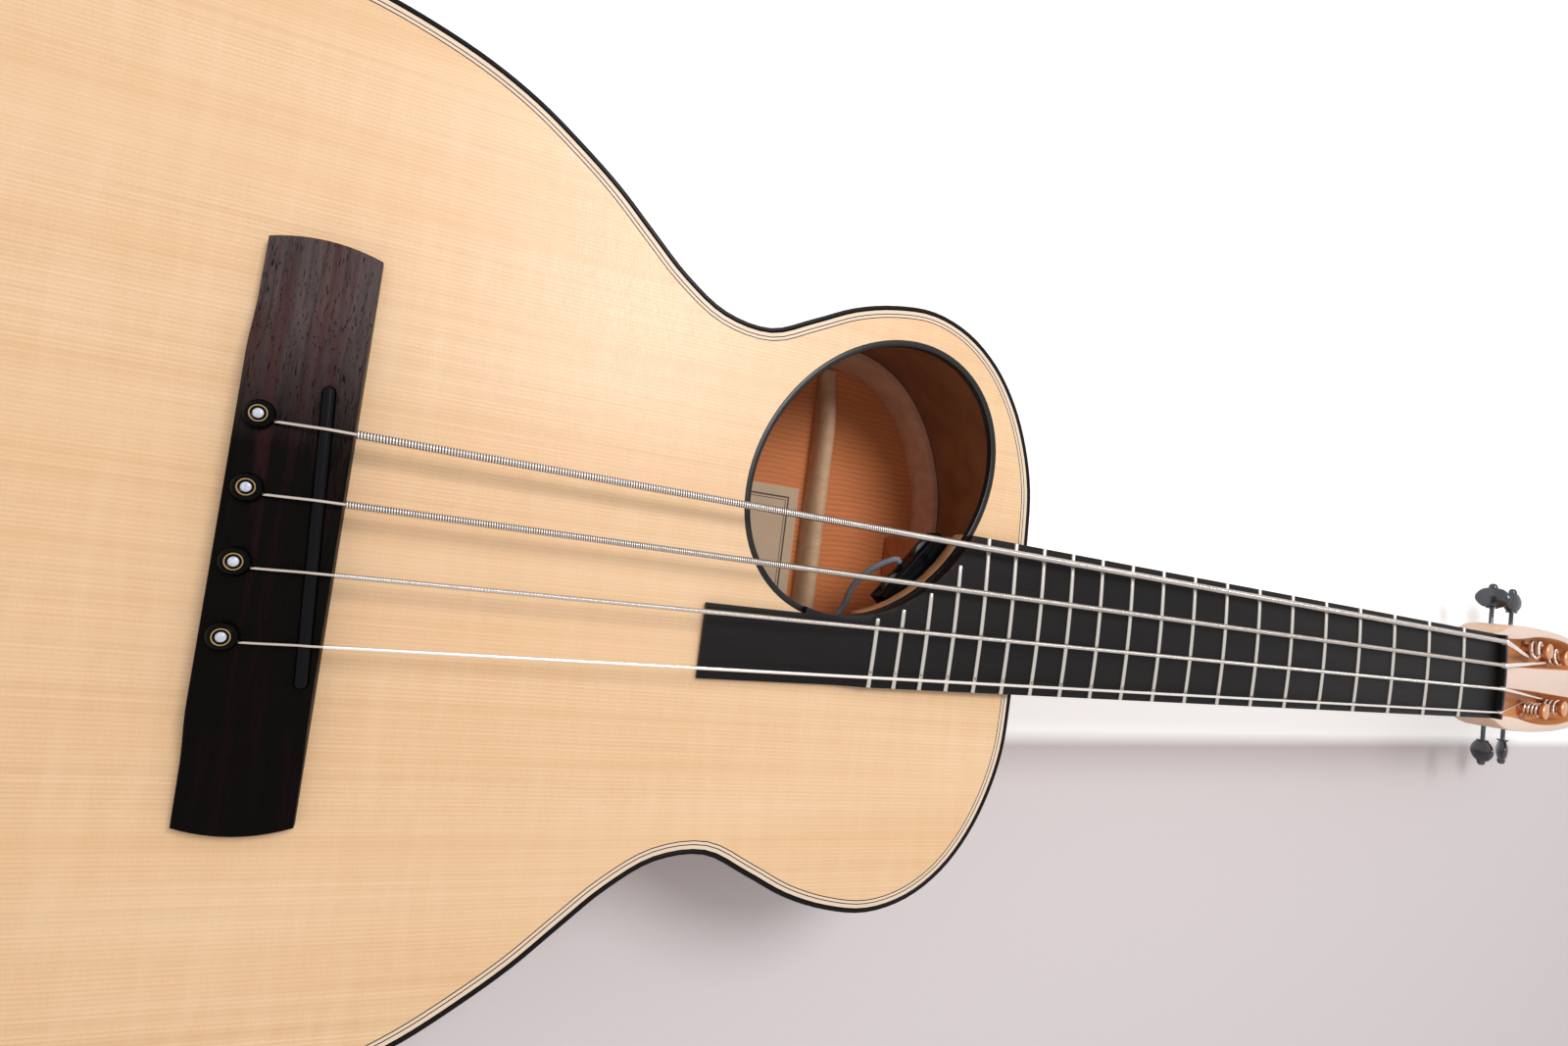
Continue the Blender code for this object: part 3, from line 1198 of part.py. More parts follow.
def jack_matrix():
    """Z runs out of the tail along the end jack, from the sides' outer face."""
    return Matrix.Translation((TAIL_END, 0, JACK_HEIGHT)) @ Matrix.Rotation(math.radians(-90), 4, "Y")


def make_jack():
    """End jack in the tail block: a barrel inside, and a strap button with its socket outside."""
    barrel, neck, button = JACK_DIAMETER / 2, JACK_NECK_DIAMETER / 2, JACK_BUTTON_DIAMETER / 2
    inside = SIDE_THICKNESS + SEAT
    profile = [(barrel * 0.7, -(inside + JACK_LENGTH)), (barrel, -(inside + JACK_LENGTH - 0.001)), (barrel, -inside),
               (neck, -inside), (neck, SEAT), (button, SEAT), (button, SEAT + 0.0015),
               (button * 0.72, SEAT + 0.0035), (button * 0.72, SEAT + JACK_BUTTON_LENGTH - 0.0035),
               (button * 0.95, SEAT + JACK_BUTTON_LENGTH - 0.0015), (button * 0.9, SEAT + JACK_BUTTON_LENGTH)]
    place = jack_matrix()
    jack = piece("end_jack", turned(profile, 14), "black_metal", place)
    socket = turned([(JACK_SOCKET_DIAMETER / 2, -JACK_LENGTH / 2), (JACK_SOCKET_DIAMETER / 2, JACK_BUTTON_LENGTH * 2)], 12)
    combine(jack, cutter("jack_socket", socket, place))


def make_cable():
    """Cable from the control unit's front over the back braces to the end jack."""
    ride = BACK_THICKNESS + SEAT + BACK_BRACE_HEIGHT + SEAT + CABLE_DIAMETER / 2
    low = CABLE_DIAMETER / 2 - UNIT_HEIGHT / 2
    unit_end = unit_matrix() @ Vector((0, UNIT_WIDTH / 2 + SEAT, low))
    away = unit_matrix() @ Vector((0, UNIT_WIDTH / 2 + CABLE_DIAMETER, low)) - unit_end
    jack_end = Vector((TAIL_END + SIDE_THICKNESS + SEAT + JACK_LENGTH + SEAT, 0, JACK_HEIGHT))
    front, rear = (Vector((x, CABLE_ACROSS, ride)) for x in BACK_BRACES_AT[1:])
    fall = front - unit_end
    drop = [unit_end + Vector((fall.x * along, fall.y * across, fall.z * down))
            for along, across, down in CABLE_DROP_SHAPE]
    rise = rear.lerp(jack_end, 0.5) + Vector((0, 0, 0.2 * (ride - jack_end.z)))
    route = [unit_end, unit_end + away, *drop, front, front.lerp(rear, 0.46), rear,
             rise, jack_end + Vector((3 * CABLE_DIAMETER, 0, 0)), jack_end]
    fine = through(route, CABLE_STEPS)
    points = fine[:32:2] + fine[32:-13:13] + route[-2:]
    tube("pickup_cable", points, [CABLE_DIAMETER / 2] * len(points), "grey_rubber", sides=1)


def build():
    clear_scene()
    make_plates()
    make_sides()
    make_linings()
    make_bindings()
    make_rim()
    make_blocks()
    make_braces()
    make_inner_plates()
    make_bridge()
    make_saddle()
    make_pins()
    make_fretboard()
    make_nut()
    make_neck()
    make_heel_cap()
    for number in range(4):
        make_plate(number)
        make_shaft(number)
        make_button(number)
        make_post(number)
        make_gear(number)
    make_strings()
    make_control_unit()
    make_jack()
    make_cable()


build()
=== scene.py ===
"""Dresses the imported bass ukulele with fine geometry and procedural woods, metals and plastics.

Lengths are metres, in the frame's own axes: +X to the head, +Y to the bass side, +Z out of the soundboard.
"""

import json
import math

import bmesh
import bpy
from bpy.props import FloatProperty, FloatVectorProperty, IntProperty, PointerProperty
from mathutils import Matrix, Vector


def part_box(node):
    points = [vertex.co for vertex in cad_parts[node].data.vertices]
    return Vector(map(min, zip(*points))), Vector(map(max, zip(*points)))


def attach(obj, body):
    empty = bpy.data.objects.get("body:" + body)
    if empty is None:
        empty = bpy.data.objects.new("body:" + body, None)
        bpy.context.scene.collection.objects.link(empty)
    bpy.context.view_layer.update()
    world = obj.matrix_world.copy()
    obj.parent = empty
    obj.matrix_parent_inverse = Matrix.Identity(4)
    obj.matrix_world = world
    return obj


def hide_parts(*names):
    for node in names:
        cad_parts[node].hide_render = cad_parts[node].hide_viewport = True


bl_info = {
    "name": "Bass ukulele",
    "version": (1, 0, 0),
    "blender": (4, 5, 0),
    "location": "View3D > Sidebar > Ukulele",
    "description": "Builds the visual model of a bass ukulele round its packed solids",
    "category": "Object",
}

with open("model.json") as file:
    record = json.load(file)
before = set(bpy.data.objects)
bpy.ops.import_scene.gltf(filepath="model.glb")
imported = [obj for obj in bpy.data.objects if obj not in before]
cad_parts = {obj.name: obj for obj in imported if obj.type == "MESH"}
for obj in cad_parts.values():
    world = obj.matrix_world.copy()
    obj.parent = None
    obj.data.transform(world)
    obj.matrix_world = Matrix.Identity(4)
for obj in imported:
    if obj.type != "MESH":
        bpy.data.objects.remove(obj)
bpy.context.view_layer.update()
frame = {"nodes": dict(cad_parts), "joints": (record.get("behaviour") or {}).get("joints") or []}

# Places read from the solids
BACK_LOW, BACK_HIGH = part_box("back")
BOARD_LOW, BOARD_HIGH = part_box("soundboard")
RING_LOW, RING_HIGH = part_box("top_binding")
SIDE_LOW, SIDE_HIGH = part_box("side_bass")
BRIDGE_LOW, BRIDGE_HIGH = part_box("bridge")
SADDLE_LOW, SADDLE_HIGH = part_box("saddle")
FRETS_LOW, FRETS_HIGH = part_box("fretboard")
NUT_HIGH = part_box("nut")[1]
NECK_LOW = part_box("neck")[0]
TOP = BOARD_HIGH.z
EDGE = RING_HIGH.y - BOARD_HIGH.y
SEAT = BRIDGE_LOW.z - TOP
BINDING_HEIGHT = RING_HIGH.z - RING_LOW.z
JOINTS = {joint["name"]: joint for joint in frame["joints"]}

# Sizes that several pieces share
PIN_BORE = 0.0027
PIN_SHANK = 0.0024
POST_BORE = 0.0033
POST_RADIUS = 0.0030
BOARD_THICKNESS = 0.0051
BOARD_HALF_AT_END = 0.0294
SADDLE_LONG = 0.0798
SADDLE_THICK = 0.0030
SADDLE_ACROSS = 0.0044
SADDLE_MIDDLE = -0.0063
RECESS_DEPTH = 0.0130
LUG_INSIDE = 0.0052
LUG_THICKNESS = 0.0024
WORM_DROP = 0.0055
STRING_EXIT = math.radians(-20)
TABLE_EDGE_LEAN = -0.0357
TABLE_EDGE = -0.0696


def joint_place(name):
    return Vector(JOINTS[name]["pos_m"])


class UkuleleSizes(bpy.types.PropertyGroup):
    """Sizes of the visible details."""
    scale_length: FloatProperty(name="Scale length", description="Nut to saddle line", default=0.530,
                                unit="LENGTH")
    binding_width: FloatProperty(name="Binding width", description="Black edge strip, seen from above",
                                 default=0.0015, unit="LENGTH")
    outer_band: FloatProperty(name="Outer pale band", description="Pale strip beside the binding",
                              default=0.0015, unit="LENGTH")
    fine_line: FloatProperty(name="Fine line", description="Width of each black line", default=0.00032,
                             unit="LENGTH")
    inner_band: FloatProperty(name="Inner pale band", description="Pale strip between the black lines",
                              default=0.00085, unit="LENGTH")
    side_thickness: FloatProperty(name="Side thickness", description="Bent sides", default=0.0026,
                                  unit="LENGTH")
    hole_x: FloatProperty(name="Soundhole along", description="Centre of the soundhole from the saddle line",
                          default=0.1637, unit="LENGTH")
    hole_y: FloatProperty(name="Soundhole across", description="Centre of the soundhole from the middle",
                          default=0.0436, unit="LENGTH")
    hole_long: FloatProperty(name="Soundhole long radius", description="To the rim's outer edge",
                             default=0.0559, unit="LENGTH")
    hole_short: FloatProperty(name="Soundhole short radius", description="To the rim's outer edge",
                              default=0.0440, unit="LENGTH")
    hole_turn: FloatProperty(name="Soundhole turn", description="Long axis from the strings",
                             default=math.radians(51.6), unit="ROTATION")
    rim_width: FloatProperty(name="Rim width", description="Black soundhole rim", default=0.0022,
                             unit="LENGTH")
    lining_width: FloatProperty(name="Lining width", description="Lining where it meets a plate",
                                default=0.0065, unit="LENGTH")
    lining_height: FloatProperty(name="Lining height", description="Lining along the side", default=0.012,
                                 unit="LENGTH")
    lining_toe: FloatProperty(name="Lining toe", description="Lining's thin edge", default=0.0022,
                              unit="LENGTH")
    fret_count: IntProperty(name="Frets", description="Number of frets", default=20)
    fret_width: FloatProperty(name="Fret width", description="Width of a fret's bead", default=0.0018,
                              unit="LENGTH")
    fret_height: FloatProperty(name="Fret height", description="Height of a fret's bead", default=0.0010,
                               unit="LENGTH")
    board_radius: FloatProperty(name="Fretboard radius", description="Round of the fretboard's top",
                                default=0.320, unit="LENGTH")
    head_tilt: FloatProperty(name="Head tilt", description="Head bent back from the neck",
                             default=math.radians(11), unit="ROTATION")


class UkuleleColours(bpy.types.PropertyGroup):
    """Colours of the finishes."""
    spruce: FloatVectorProperty(name="Soundboard", description="Pale spruce", subtype="COLOR",
                                default=(0.88, 0.597, 0.365))
    spruce_line: FloatVectorProperty(name="Soundboard lines", description="Year lines of the spruce",
                                     subtype="COLOR", default=(0.72, 0.43, 0.21))
    side_wood: FloatVectorProperty(name="Side wood", description="Reddish brown sides and back",
                                   subtype="COLOR", default=(0.36, 0.145, 0.062))
    inner_wood: FloatVectorProperty(name="Inner wood", description="Bare wood of the back's inside",
                                    subtype="COLOR", default=(0.72, 0.235, 0.082))
    brace: FloatVectorProperty(name="Brace wood", description="Bare spruce braces", subtype="COLOR",
                               default=(0.78, 0.50, 0.30))
    neck: FloatVectorProperty(name="Neck wood", description="Satin neck", subtype="COLOR",
                              default=(0.80, 0.47, 0.25))
    ebony: FloatVectorProperty(name="Fretboard wood", description="Near black", subtype="COLOR",
                               default=(0.0040, 0.0032, 0.0034))
    bridge: FloatVectorProperty(name="Bridge wood", description="Dark with reddish streaks", subtype="COLOR",
                                default=(0.0028, 0.0018, 0.0016))
    table: FloatVectorProperty(name="Table", description="Pale table top", subtype="COLOR",
                               default=(0.74, 0.67, 0.68))


def sizes():
    return bpy.context.scene.ukulele_sizes


def colours():
    return bpy.context.scene.ukulele_colours


# Finishes


def add_node(tree, kind, inputs=None, **fields):
    """A shader node with its fields set and its inputs set or linked."""
    made = tree.nodes.new("ShaderNode" + kind)
    for key, value in fields.items():
        setattr(made, key, value)
    for key, value in (inputs or {}).items():
        if isinstance(value, bpy.types.NodeSocket):
            tree.links.new(value, made.inputs[key])
        else:
            made.inputs[key].default_value = value
    return made


def new_finish(name, colour, roughness=0.5, metallic=0.0, **sockets):
    made = bpy.data.materials.new(name)
    made.use_nodes = True
    shader = made.node_tree.nodes["Principled BSDF"]
    shader.inputs["Base Color"].default_value = (*colour[:3], 1)
    shader.inputs["Roughness"].default_value = roughness
    shader.inputs["Metallic"].default_value = metallic
    for key, value in sockets.items():
        shader.inputs[key.replace("_", " ")].default_value = value
    return made, made.node_tree, shader


def stretched(tree, scale, turn=(0, 0, 0), move=(0, 0, 0)):
    """Object coordinates in millimetres over a grain's own lengths along X, Y and Z."""
    place = add_node(tree, "TexCoord")
    mapped = add_node(tree, "Mapping", {"Vector": place.outputs["Object"], "Rotation": turn, "Location": move,
                                        "Scale": tuple(1000 / length for length in scale)})
    return mapped.outputs["Vector"]


def noise(tree, scale, detail=3.0, roughness=0.5, distortion=0.0, turn=(0, 0, 0), move=(0, 0, 0)):
    return add_node(tree, "TexNoise", {"Vector": stretched(tree, scale, turn, move), "Scale": 1.0,
                                       "Detail": detail, "Roughness": roughness,
                                       "Distortion": distortion}).outputs["Fac"]


def spread(tree, value, low, high, out_low=0.0, out_high=1.0):
    """A value's range taken from low..high to another range and held there."""
    return add_node(tree, "MapRange", {"Value": value, "From Min": low, "From Max": high, "To Min": out_low,
                                       "To Max": out_high}).outputs["Result"]


def maths(tree, operation, *values):
    """One Math node over numbers and other nodes' outputs."""
    return add_node(tree, "Math", dict(enumerate(values)), operation=operation).outputs[0]


def mix(tree, share, first, second):
    made = add_node(tree, "Mix", data_type="RGBA")
    for key, value in ((0, share), (6, first), (7, second)):
        if isinstance(value, bpy.types.NodeSocket):
            tree.links.new(value, made.inputs[key])
        elif key == 0:
            made.inputs[0].default_value = value
        else:
            made.inputs[key].default_value = (*value[:3], 1)
    return made.outputs[2]


def bump(tree, shader, height, distance):
    made = add_node(tree, "Bump", {"Height": height, "Distance": distance})
    tree.links.new(made.outputs["Normal"], shader.inputs["Normal"])


def darker(colour, share):
    return tuple(channel * share for channel in colour[:3])


def spruce_finish():
    """Quarter-sawn spruce: straight year lines with fine silk across them and slow bands of warmth."""
    made, tree, shader = new_finish("spruce_top", colours().spruce, 0.36)
    pale, line = colours().spruce, colours().spruce_line
    wander = noise(tree, (160, 30, 30), 1.0)
    lines = add_node(tree, "TexWave", {"Vector": stretched(tree, (1, 1, 1)), "Scale": 0.26, "Distortion": 1.6,
                                       "Detail": 2.0, "Detail Scale": 0.09, "Detail Roughness": 0.4},
                     wave_type="BANDS", bands_direction="Y", wave_profile="SAW").outputs["Fac"]
    fine = noise(tree, (60, 0.55, 4), 4.0, 0.6)
    silk = noise(tree, (0.55, 3.4, 3), 3.0, 0.65)
    curl = noise(tree, (4.5, 34, 20), 2.0, 0.5)
    streaks = noise(tree, (340, 2.3, 9), 3.0, 0.55)
    band = noise(tree, (420, 22, 22), 3.0, 0.55)
    share = maths(tree, "ADD", spread(tree, lines, 0.30, 1.0, 0.0, 0.52),
                  spread(tree, fine, 0.35, 0.70, 0.0, 0.36))
    colour = mix(tree, share, pale, line)
    colour = mix(tree, spread(tree, streaks, 0.46, 0.70, 0.0, 0.42), colour, darker(line, 0.96))
    colour = mix(tree, spread(tree, silk, 0.42, 0.70, 0.0, 0.30), colour, darker(line, 0.98))
    colour = mix(tree, spread(tree, curl, 0.40, 0.72, 0.0, 0.20), colour, (0.93, 0.68, 0.44))
    colour = mix(tree, spread(tree, band, 0.40, 0.68, 0.0, 0.36), colour, (0.80, 0.47, 0.235))
    colour = mix(tree, spread(tree, wander, 0.42, 0.75, 0.0, 0.25), colour, (0.95, 0.72, 0.48))
    tree.links.new(colour, shader.inputs["Base Color"])
    tree.links.new(spread(tree, silk, 0.3, 0.7, 0.33, 0.42), shader.inputs["Roughness"])
    bump(tree, shader, fine, 0.00003)
    return made


def plain_wood(name, colour, grain, dark=0.62, roughness=0.45, pore=0.25, turn=(0, 0, 0), coat=0.0):
    """Open-grained wood: broad figure, fine fibres and short dark pores, along X before turning."""
    made, tree, shader = new_finish(name, colour, roughness, Coat_Weight=coat, Coat_Roughness=0.25)
    broad = noise(tree, (grain * 14, grain, grain), 3.0, 0.5, 0.6, turn)
    fibre = noise(tree, (26, 0.5, 0.5), 4.0, 0.6, 0.0, turn)
    pores = noise(tree, (5.5, 0.22, 0.3), 2.0, 0.7, 0.0, turn)
    tone = mix(tree, spread(tree, broad, 0.32, 0.68), colour, darker(colour, dark))
    tone = mix(tree, spread(tree, fibre, 0.35, 0.75, 0.0, 0.45), tone, darker(colour, dark * 0.85))
    tone = mix(tree, spread(tree, pores, 0.60, 0.72, 0.0, pore), tone, darker(colour, 0.28))
    tree.links.new(tone, shader.inputs["Base Color"])
    tree.links.new(spread(tree, pores, 0.4, 0.75, roughness, min(1.0, roughness + 0.2)),
                   shader.inputs["Roughness"])
    bump(tree, shader, fibre, 0.00004)
    return made


def ribbon_finish():
    """Bare back wood whose fibres sway, so that fine ribbons run across its reddish ground."""
    made, tree, shader = new_finish("inner_back_wood", colours().inner_wood, 0.62, Specular_IOR_Level=0.2)
    base = colours().inner_wood
    sway = add_node(tree, "TexWave", {"Vector": stretched(tree, (1, 1, 1)), "Scale": 0.14, "Distortion": 7.0,
                                      "Detail": 2.0, "Detail Scale": 0.22, "Detail Roughness": 0.6},
                    wave_type="BANDS", bands_direction="Y").outputs["Fac"]
    ribbon = noise(tree, (26, 1.1, 2), 3.0, 0.6, 0.8)
    broad = noise(tree, (90, 16, 16), 2.0)
    pores = noise(tree, (5.5, 0.25, 0.3), 2.0, 0.7)
    share = maths(tree, "MULTIPLY", spread(tree, sway, 0.2, 0.9, 0.0, 0.75),
                  spread(tree, ribbon, 0.36, 0.62, 0.15, 1.0))
    tone = mix(tree, share, base, darker(base, 0.52))
    tone = mix(tree, spread(tree, ribbon, 0.35, 0.68, 0.0, 0.40), tone, (0.86, 0.31, 0.115))
    tone = mix(tree, spread(tree, broad, 0.4, 0.7, 0.0, 0.4), tone, darker(base, 0.72))
    tone = mix(tree, spread(tree, pores, 0.60, 0.72, 0.0, 0.4), tone, darker(base, 0.35))
    tree.links.new(tone, shader.inputs["Base Color"])
    bump(tree, shader, ribbon, 0.00004)
    return made


def bridge_finish():
    """Oiled dark wood: reddish streak and open pores at the bass end, with a painted sheen there; near black
    on the other half.
    """
    made, tree, shader = new_finish("bridge_wood", colours().bridge, 0.36, Specular_IOR_Level=0.035)
    base = colours().bridge
    place = add_node(tree, "TexCoord")
    across = add_node(tree, "SeparateXYZ", {"Vector": place.outputs["Object"]}).outputs["Y"]
    figure = noise(tree, (1.8, 45, 6), 3.0, 0.6, 0.3)
    streak = noise(tree, (5.0, 80, 12), 2.5, 0.5, 0.2, move=(0.62, 0, 0))
    pores = noise(tree, (0.34, 3.4, 0.6), 2.0, 0.6)
    # Painted sheen: the bass end is painted paler and greyer, broken up by the figure, where the wing tilts
    # toward the light
    paler = spread(tree, across, 0.022, 0.062, 0.0, 1.0)
    painted_sheen = maths(tree, "MULTIPLY", paler, spread(tree, figure, 0.25, 0.6, 0.35))
    tone = mix(tree, painted_sheen, base, (0.100, 0.072, 0.068))
    redder = maths(tree, "MULTIPLY", spread(tree, across, -0.02, 0.05, 0.12, 1.0),
                   spread(tree, streak, 0.53, 0.66, 0.0, 0.5))
    tone = mix(tree, redder, tone, (0.058, 0.014, 0.016))
    tone = mix(tree, spread(tree, pores, 0.60, 0.66, 0.0, 0.9), tone, darker(base, 0.6))
    tree.links.new(tone, shader.inputs["Base Color"])
    tree.links.new(spread(tree, pores, 0.4, 0.7, 0.34, 0.5), shader.inputs["Roughness"])
    bump(tree, shader, spread(tree, pores, 0.60, 0.68, 1.0, 0.0), 0.00005)
    return made


def ebony_finish():
    made, tree, shader = new_finish("fretboard_wood", colours().ebony, 0.46, Specular_IOR_Level=0.15)
    fibre = noise(tree, (14, 0.35, 0.5), 4.0, 0.6)
    broad = noise(tree, (80, 9, 9), 2.0)
    tone = mix(tree, spread(tree, fibre, 0.35, 0.7, 0.0, 0.6), colours().ebony, (0.011, 0.0085, 0.0085))
    tone = mix(tree, spread(tree, broad, 0.4, 0.7, 0.0, 0.35), tone, (0.016, 0.012, 0.011))
    tree.links.new(tone, shader.inputs["Base Color"])
    tree.links.new(spread(tree, fibre, 0.3, 0.7, 0.40, 0.52), shader.inputs["Roughness"])
    bump(tree, shader, fibre, 0.00003)
    return made


def metal_finish(name, colour, roughness, scratch=0.06, metallic=1.0):
    """Metal with a faint uneven polish."""
    made, tree, shader = new_finish(name, colour, roughness, metallic)
    rub = noise(tree, (3, 3, 3), 4.0, 0.7)
    fine = noise(tree, (0.25, 0.25, 0.25), 2.0)
    tree.links.new(mix(tree, spread(tree, rub, 0.3, 0.7, 0.0, 0.35), colour, darker(colour, 0.82)),
                   shader.inputs["Base Color"])
    tree.links.new(spread(tree, rub, 0.3, 0.7, max(0.02, roughness - scratch), roughness + scratch),
                   shader.inputs["Roughness"])
    bump(tree, shader, fine, 0.000004)
    return made


def moulded_finish(name, colour, roughness, relief=0.000008, shine=0.2):
    """Plastic, rubber or paint with a very fine moulded texture; shine is its mirror level."""
    made, tree, shader = new_finish(name, colour, roughness, Specular_IOR_Level=shine)
    texture = noise(tree, (0.22, 0.22, 0.22), 2.0)
    cloud = noise(tree, (14, 14, 14), 2.0)
    tree.links.new(mix(tree, spread(tree, cloud, 0.3, 0.7, 0.0, 0.4), colour, darker(colour, 0.75)),
                   shader.inputs["Base Color"])
    tree.links.new(spread(tree, cloud, 0.3, 0.7, max(0.03, roughness - 0.04), roughness + 0.05),
                   shader.inputs["Roughness"])
    bump(tree, shader, texture, relief)
    return made


def pearl_finish():
    made, tree, shader = new_finish("pearl", (0.62, 0.64, 0.72), 0.18, Coat_Weight=0.3, Coat_Roughness=0.08)
    cloud = noise(tree, (0.9, 0.9, 0.9), 3.0, 0.6, 1.5)
    tree.links.new(mix(tree, spread(tree, cloud, 0.3, 0.7), (0.70, 0.71, 0.78), (0.36, 0.40, 0.54)),
                   shader.inputs["Base Color"])
    return made


def paper_finish():
    """Plain cream paper with soft fibres."""
    made, tree, shader = new_finish("label_paper", (0.60, 0.44, 0.31), 0.8, Specular_IOR_Level=0.1)
    fibre = noise(tree, (0.8, 0.8, 0.8), 4.0, 0.7)
    cloud = noise(tree, (18, 18, 18), 2.0)
    tone = mix(tree, spread(tree, fibre, 0.3, 0.7, 0.0, 0.3), (0.61, 0.45, 0.32), (0.53, 0.38, 0.26))
    tone = mix(tree, spread(tree, cloud, 0.4, 0.7, 0.0, 0.25), tone, (0.47, 0.33, 0.21))
    tree.links.new(tone, shader.inputs["Base Color"])
    bump(tree, shader, fibre, 0.00002)
    return made


def look(name):
    """One finish by its plain name, made the first time it is asked for."""
    found = bpy.data.materials.get(name)
    if found:
        return found
    c = colours()
    across = (0, 0, math.pi / 2)
    upright = (0, math.pi / 2, 0)
    makers = {
        "spruce_top": spruce_finish,
        "side_wood": lambda: plain_wood("side_wood", c.side_wood, 12, roughness=0.34, coat=0.25),
        "back_wood": lambda: plain_wood("back_wood", c.side_wood, 16, roughness=0.34, coat=0.25),
        "inner_side_wood": lambda: plain_wood("inner_side_wood", darker(c.inner_wood, 0.9), 14, 0.6, 0.7, 0.3,
                                              upright),
        "inner_back_wood": ribbon_finish,
        "lining_wood": lambda: plain_wood("lining_wood", (0.84, 0.44, 0.27), 8, 0.75, 0.65, 0.2),
        "block_wood": lambda: plain_wood("block_wood", (0.66, 0.25, 0.10), 8, 0.7, 0.65, 0.3, upright),
        "patch_wood": lambda: plain_wood("patch_wood", (0.60, 0.28, 0.12), 7, 0.68, 0.55, 0.3),
        "brace_wood": lambda: plain_wood("brace_wood", c.brace, 5, 0.80, 0.6, 0.1, across),
        "plate_wood": lambda: plain_wood("plate_wood", (0.66, 0.46, 0.28), 8, 0.8, 0.6, 0.1, across),
        "neck_wood": lambda: plain_wood("neck_wood", c.neck, 10, 0.78, 0.34, 0.2, coat=0.15),
        # Paler head face: painted highlight. Darker, redder recess walls: painted shade.
        "head_face_highlit_wood": lambda: plain_wood("head_face_highlit_wood", (0.90, 0.66, 0.53), 9, 0.92, 0.34, 0.08,
                                             coat=0.1),
        "trough_shaded_wood": lambda: plain_wood("trough_shaded_wood", (0.80, 0.36, 0.13), 7, 0.78, 0.4, 0.2, coat=0.15),
        "pale_band": lambda: plain_wood("pale_band", (0.86, 0.67, 0.50), 6, 0.93, 0.4, 0.06),
        "bridge_wood": bridge_finish,
        "fretboard_wood": ebony_finish,
        "black_binding": lambda: moulded_finish("black_binding", (0.007, 0.005, 0.005), 0.32, shine=0.1),
        "black_line": lambda: moulded_finish("black_line", (0.016, 0.008, 0.007), 0.4, shine=0.05),
        "rim_plastic": lambda: moulded_finish("rim_plastic", (0.012, 0.012, 0.012), 0.26, shine=0.24),
        "gloss_black": lambda: moulded_finish("gloss_black", (0.002, 0.002, 0.0022), 0.14, shine=0.05),
        "satin_black": lambda: moulded_finish("satin_black", (0.007, 0.007, 0.008), 0.34, shine=0.25),
        "saddle_black": lambda: moulded_finish("saddle_black", (0.0055, 0.0055, 0.0068), 0.27, shine=0.06),
        "nut_black": lambda: moulded_finish("nut_black", (0.006, 0.0055, 0.0055), 0.35),
        "key_black": lambda: metal_finish("key_black", (0.085, 0.085, 0.095), 0.16, 0.04, 1.0),
        "string_steel": lambda: metal_finish("string_steel", (0.88, 0.82, 0.77), 0.20),
        # Dark steel for the faces in the wrap's grooves: painted shade
        "groove_shade_steel": lambda: metal_finish("groove_shade_steel", (0.24, 0.195, 0.17), 0.4, metallic=0.9),
        "core_steel": lambda: metal_finish("core_steel", (0.60, 0.51, 0.45), 0.20),
        "fret_metal": lambda: metal_finish("fret_metal", (0.60, 0.56, 0.52), 0.22),
        "rod_steel": lambda: metal_finish("rod_steel", (0.45, 0.45, 0.46), 0.35),
        "copper": lambda: metal_finish("copper", (0.80, 0.42, 0.25), 0.20),
        "gear_brass": lambda: metal_finish("gear_brass", (0.72, 0.54, 0.26), 0.25),
        "ring_brass": lambda: metal_finish("ring_brass", (0.50, 0.33, 0.14), 0.16),
        "pearl": pearl_finish,
        "label_paper": paper_finish,
        "label_ink": lambda: moulded_finish("label_ink", (0.10, 0.08, 0.065), 0.7),
        "cable_rubber": lambda: moulded_finish("cable_rubber", (0.024, 0.026, 0.031), 0.45, 0.00002,
                                               shine=0.20),
    }
    made = makers[name]()
    made.name = name
    return made


# Modelling helpers


def finished(name, bm, finishes, body="body", stands_for=(), sharp=35):
    """A bmesh made into a smooth-shaded piece that rides on a body and stands for CAD nodes."""
    bmesh.ops.recalc_face_normals(bm, faces=bm.faces)
    # That can leave a closed piece inside out
    if bm.calc_volume(signed=True) < 0 and all(edge.is_manifold for edge in bm.edges):
        bmesh.ops.reverse_faces(bm, faces=bm.faces)
    mesh = bpy.data.meshes.new(name)
    bm.to_mesh(mesh)
    bm.free()
    for finish in [finishes] if isinstance(finishes, str) else finishes:
        mesh.materials.append(look(finish))
    mesh.shade_smooth()
    mesh.set_sharp_from_angle(angle=math.radians(sharp))
    made = bpy.data.objects.new(name, mesh)
    bpy.context.scene.collection.objects.link(made)
    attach(made, body)
    if stands_for:
        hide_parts(*stands_for)
    return made


def edge_loop(bm, points, closed=True):
    """Edges through points, joined end to start where closed."""
    verts = [bm.verts.new(point) for point in points]
    pairs = list(zip(verts, verts[1:]))
    if closed:
        pairs.append((verts[-1], verts[0]))
    return verts, [bm.edges.new(pair) for pair in pairs]


def skin(rings, caps=True, closed=False):
    """Closed rings of equally many points joined one to the next: a grid bent round them and welded."""
    rows = list(rings) + ([rings[0]] if closed else [])
    around, along = len(rows[0]), len(rows) - 1
    bm = bmesh.new()
    bmesh.ops.create_grid(bm, x_segments=around, y_segments=along, size=1)
    for vert in bm.verts:
        place, row = round((vert.co.x + 1) / 2 * around), round((vert.co.y + 1) / 2 * along)
        vert.co = rows[row][place % around]
    bmesh.ops.remove_doubles(bm, verts=bm.verts, dist=1e-7)
    if caps and not closed:
        bmesh.ops.holes_fill(bm, edges=[edge for edge in bm.edges if edge.is_boundary])
    return bm


def raise_patch(bm, faces, height):
    """Extrudes a flat patch along Z."""
    made = bmesh.ops.extrude_face_region(bm, geom=faces)
    verts = [item for item in made["geom"] if isinstance(item, bmesh.types.BMVert)]
    bmesh.ops.translate(bm, verts=verts, vec=(0, 0, height))


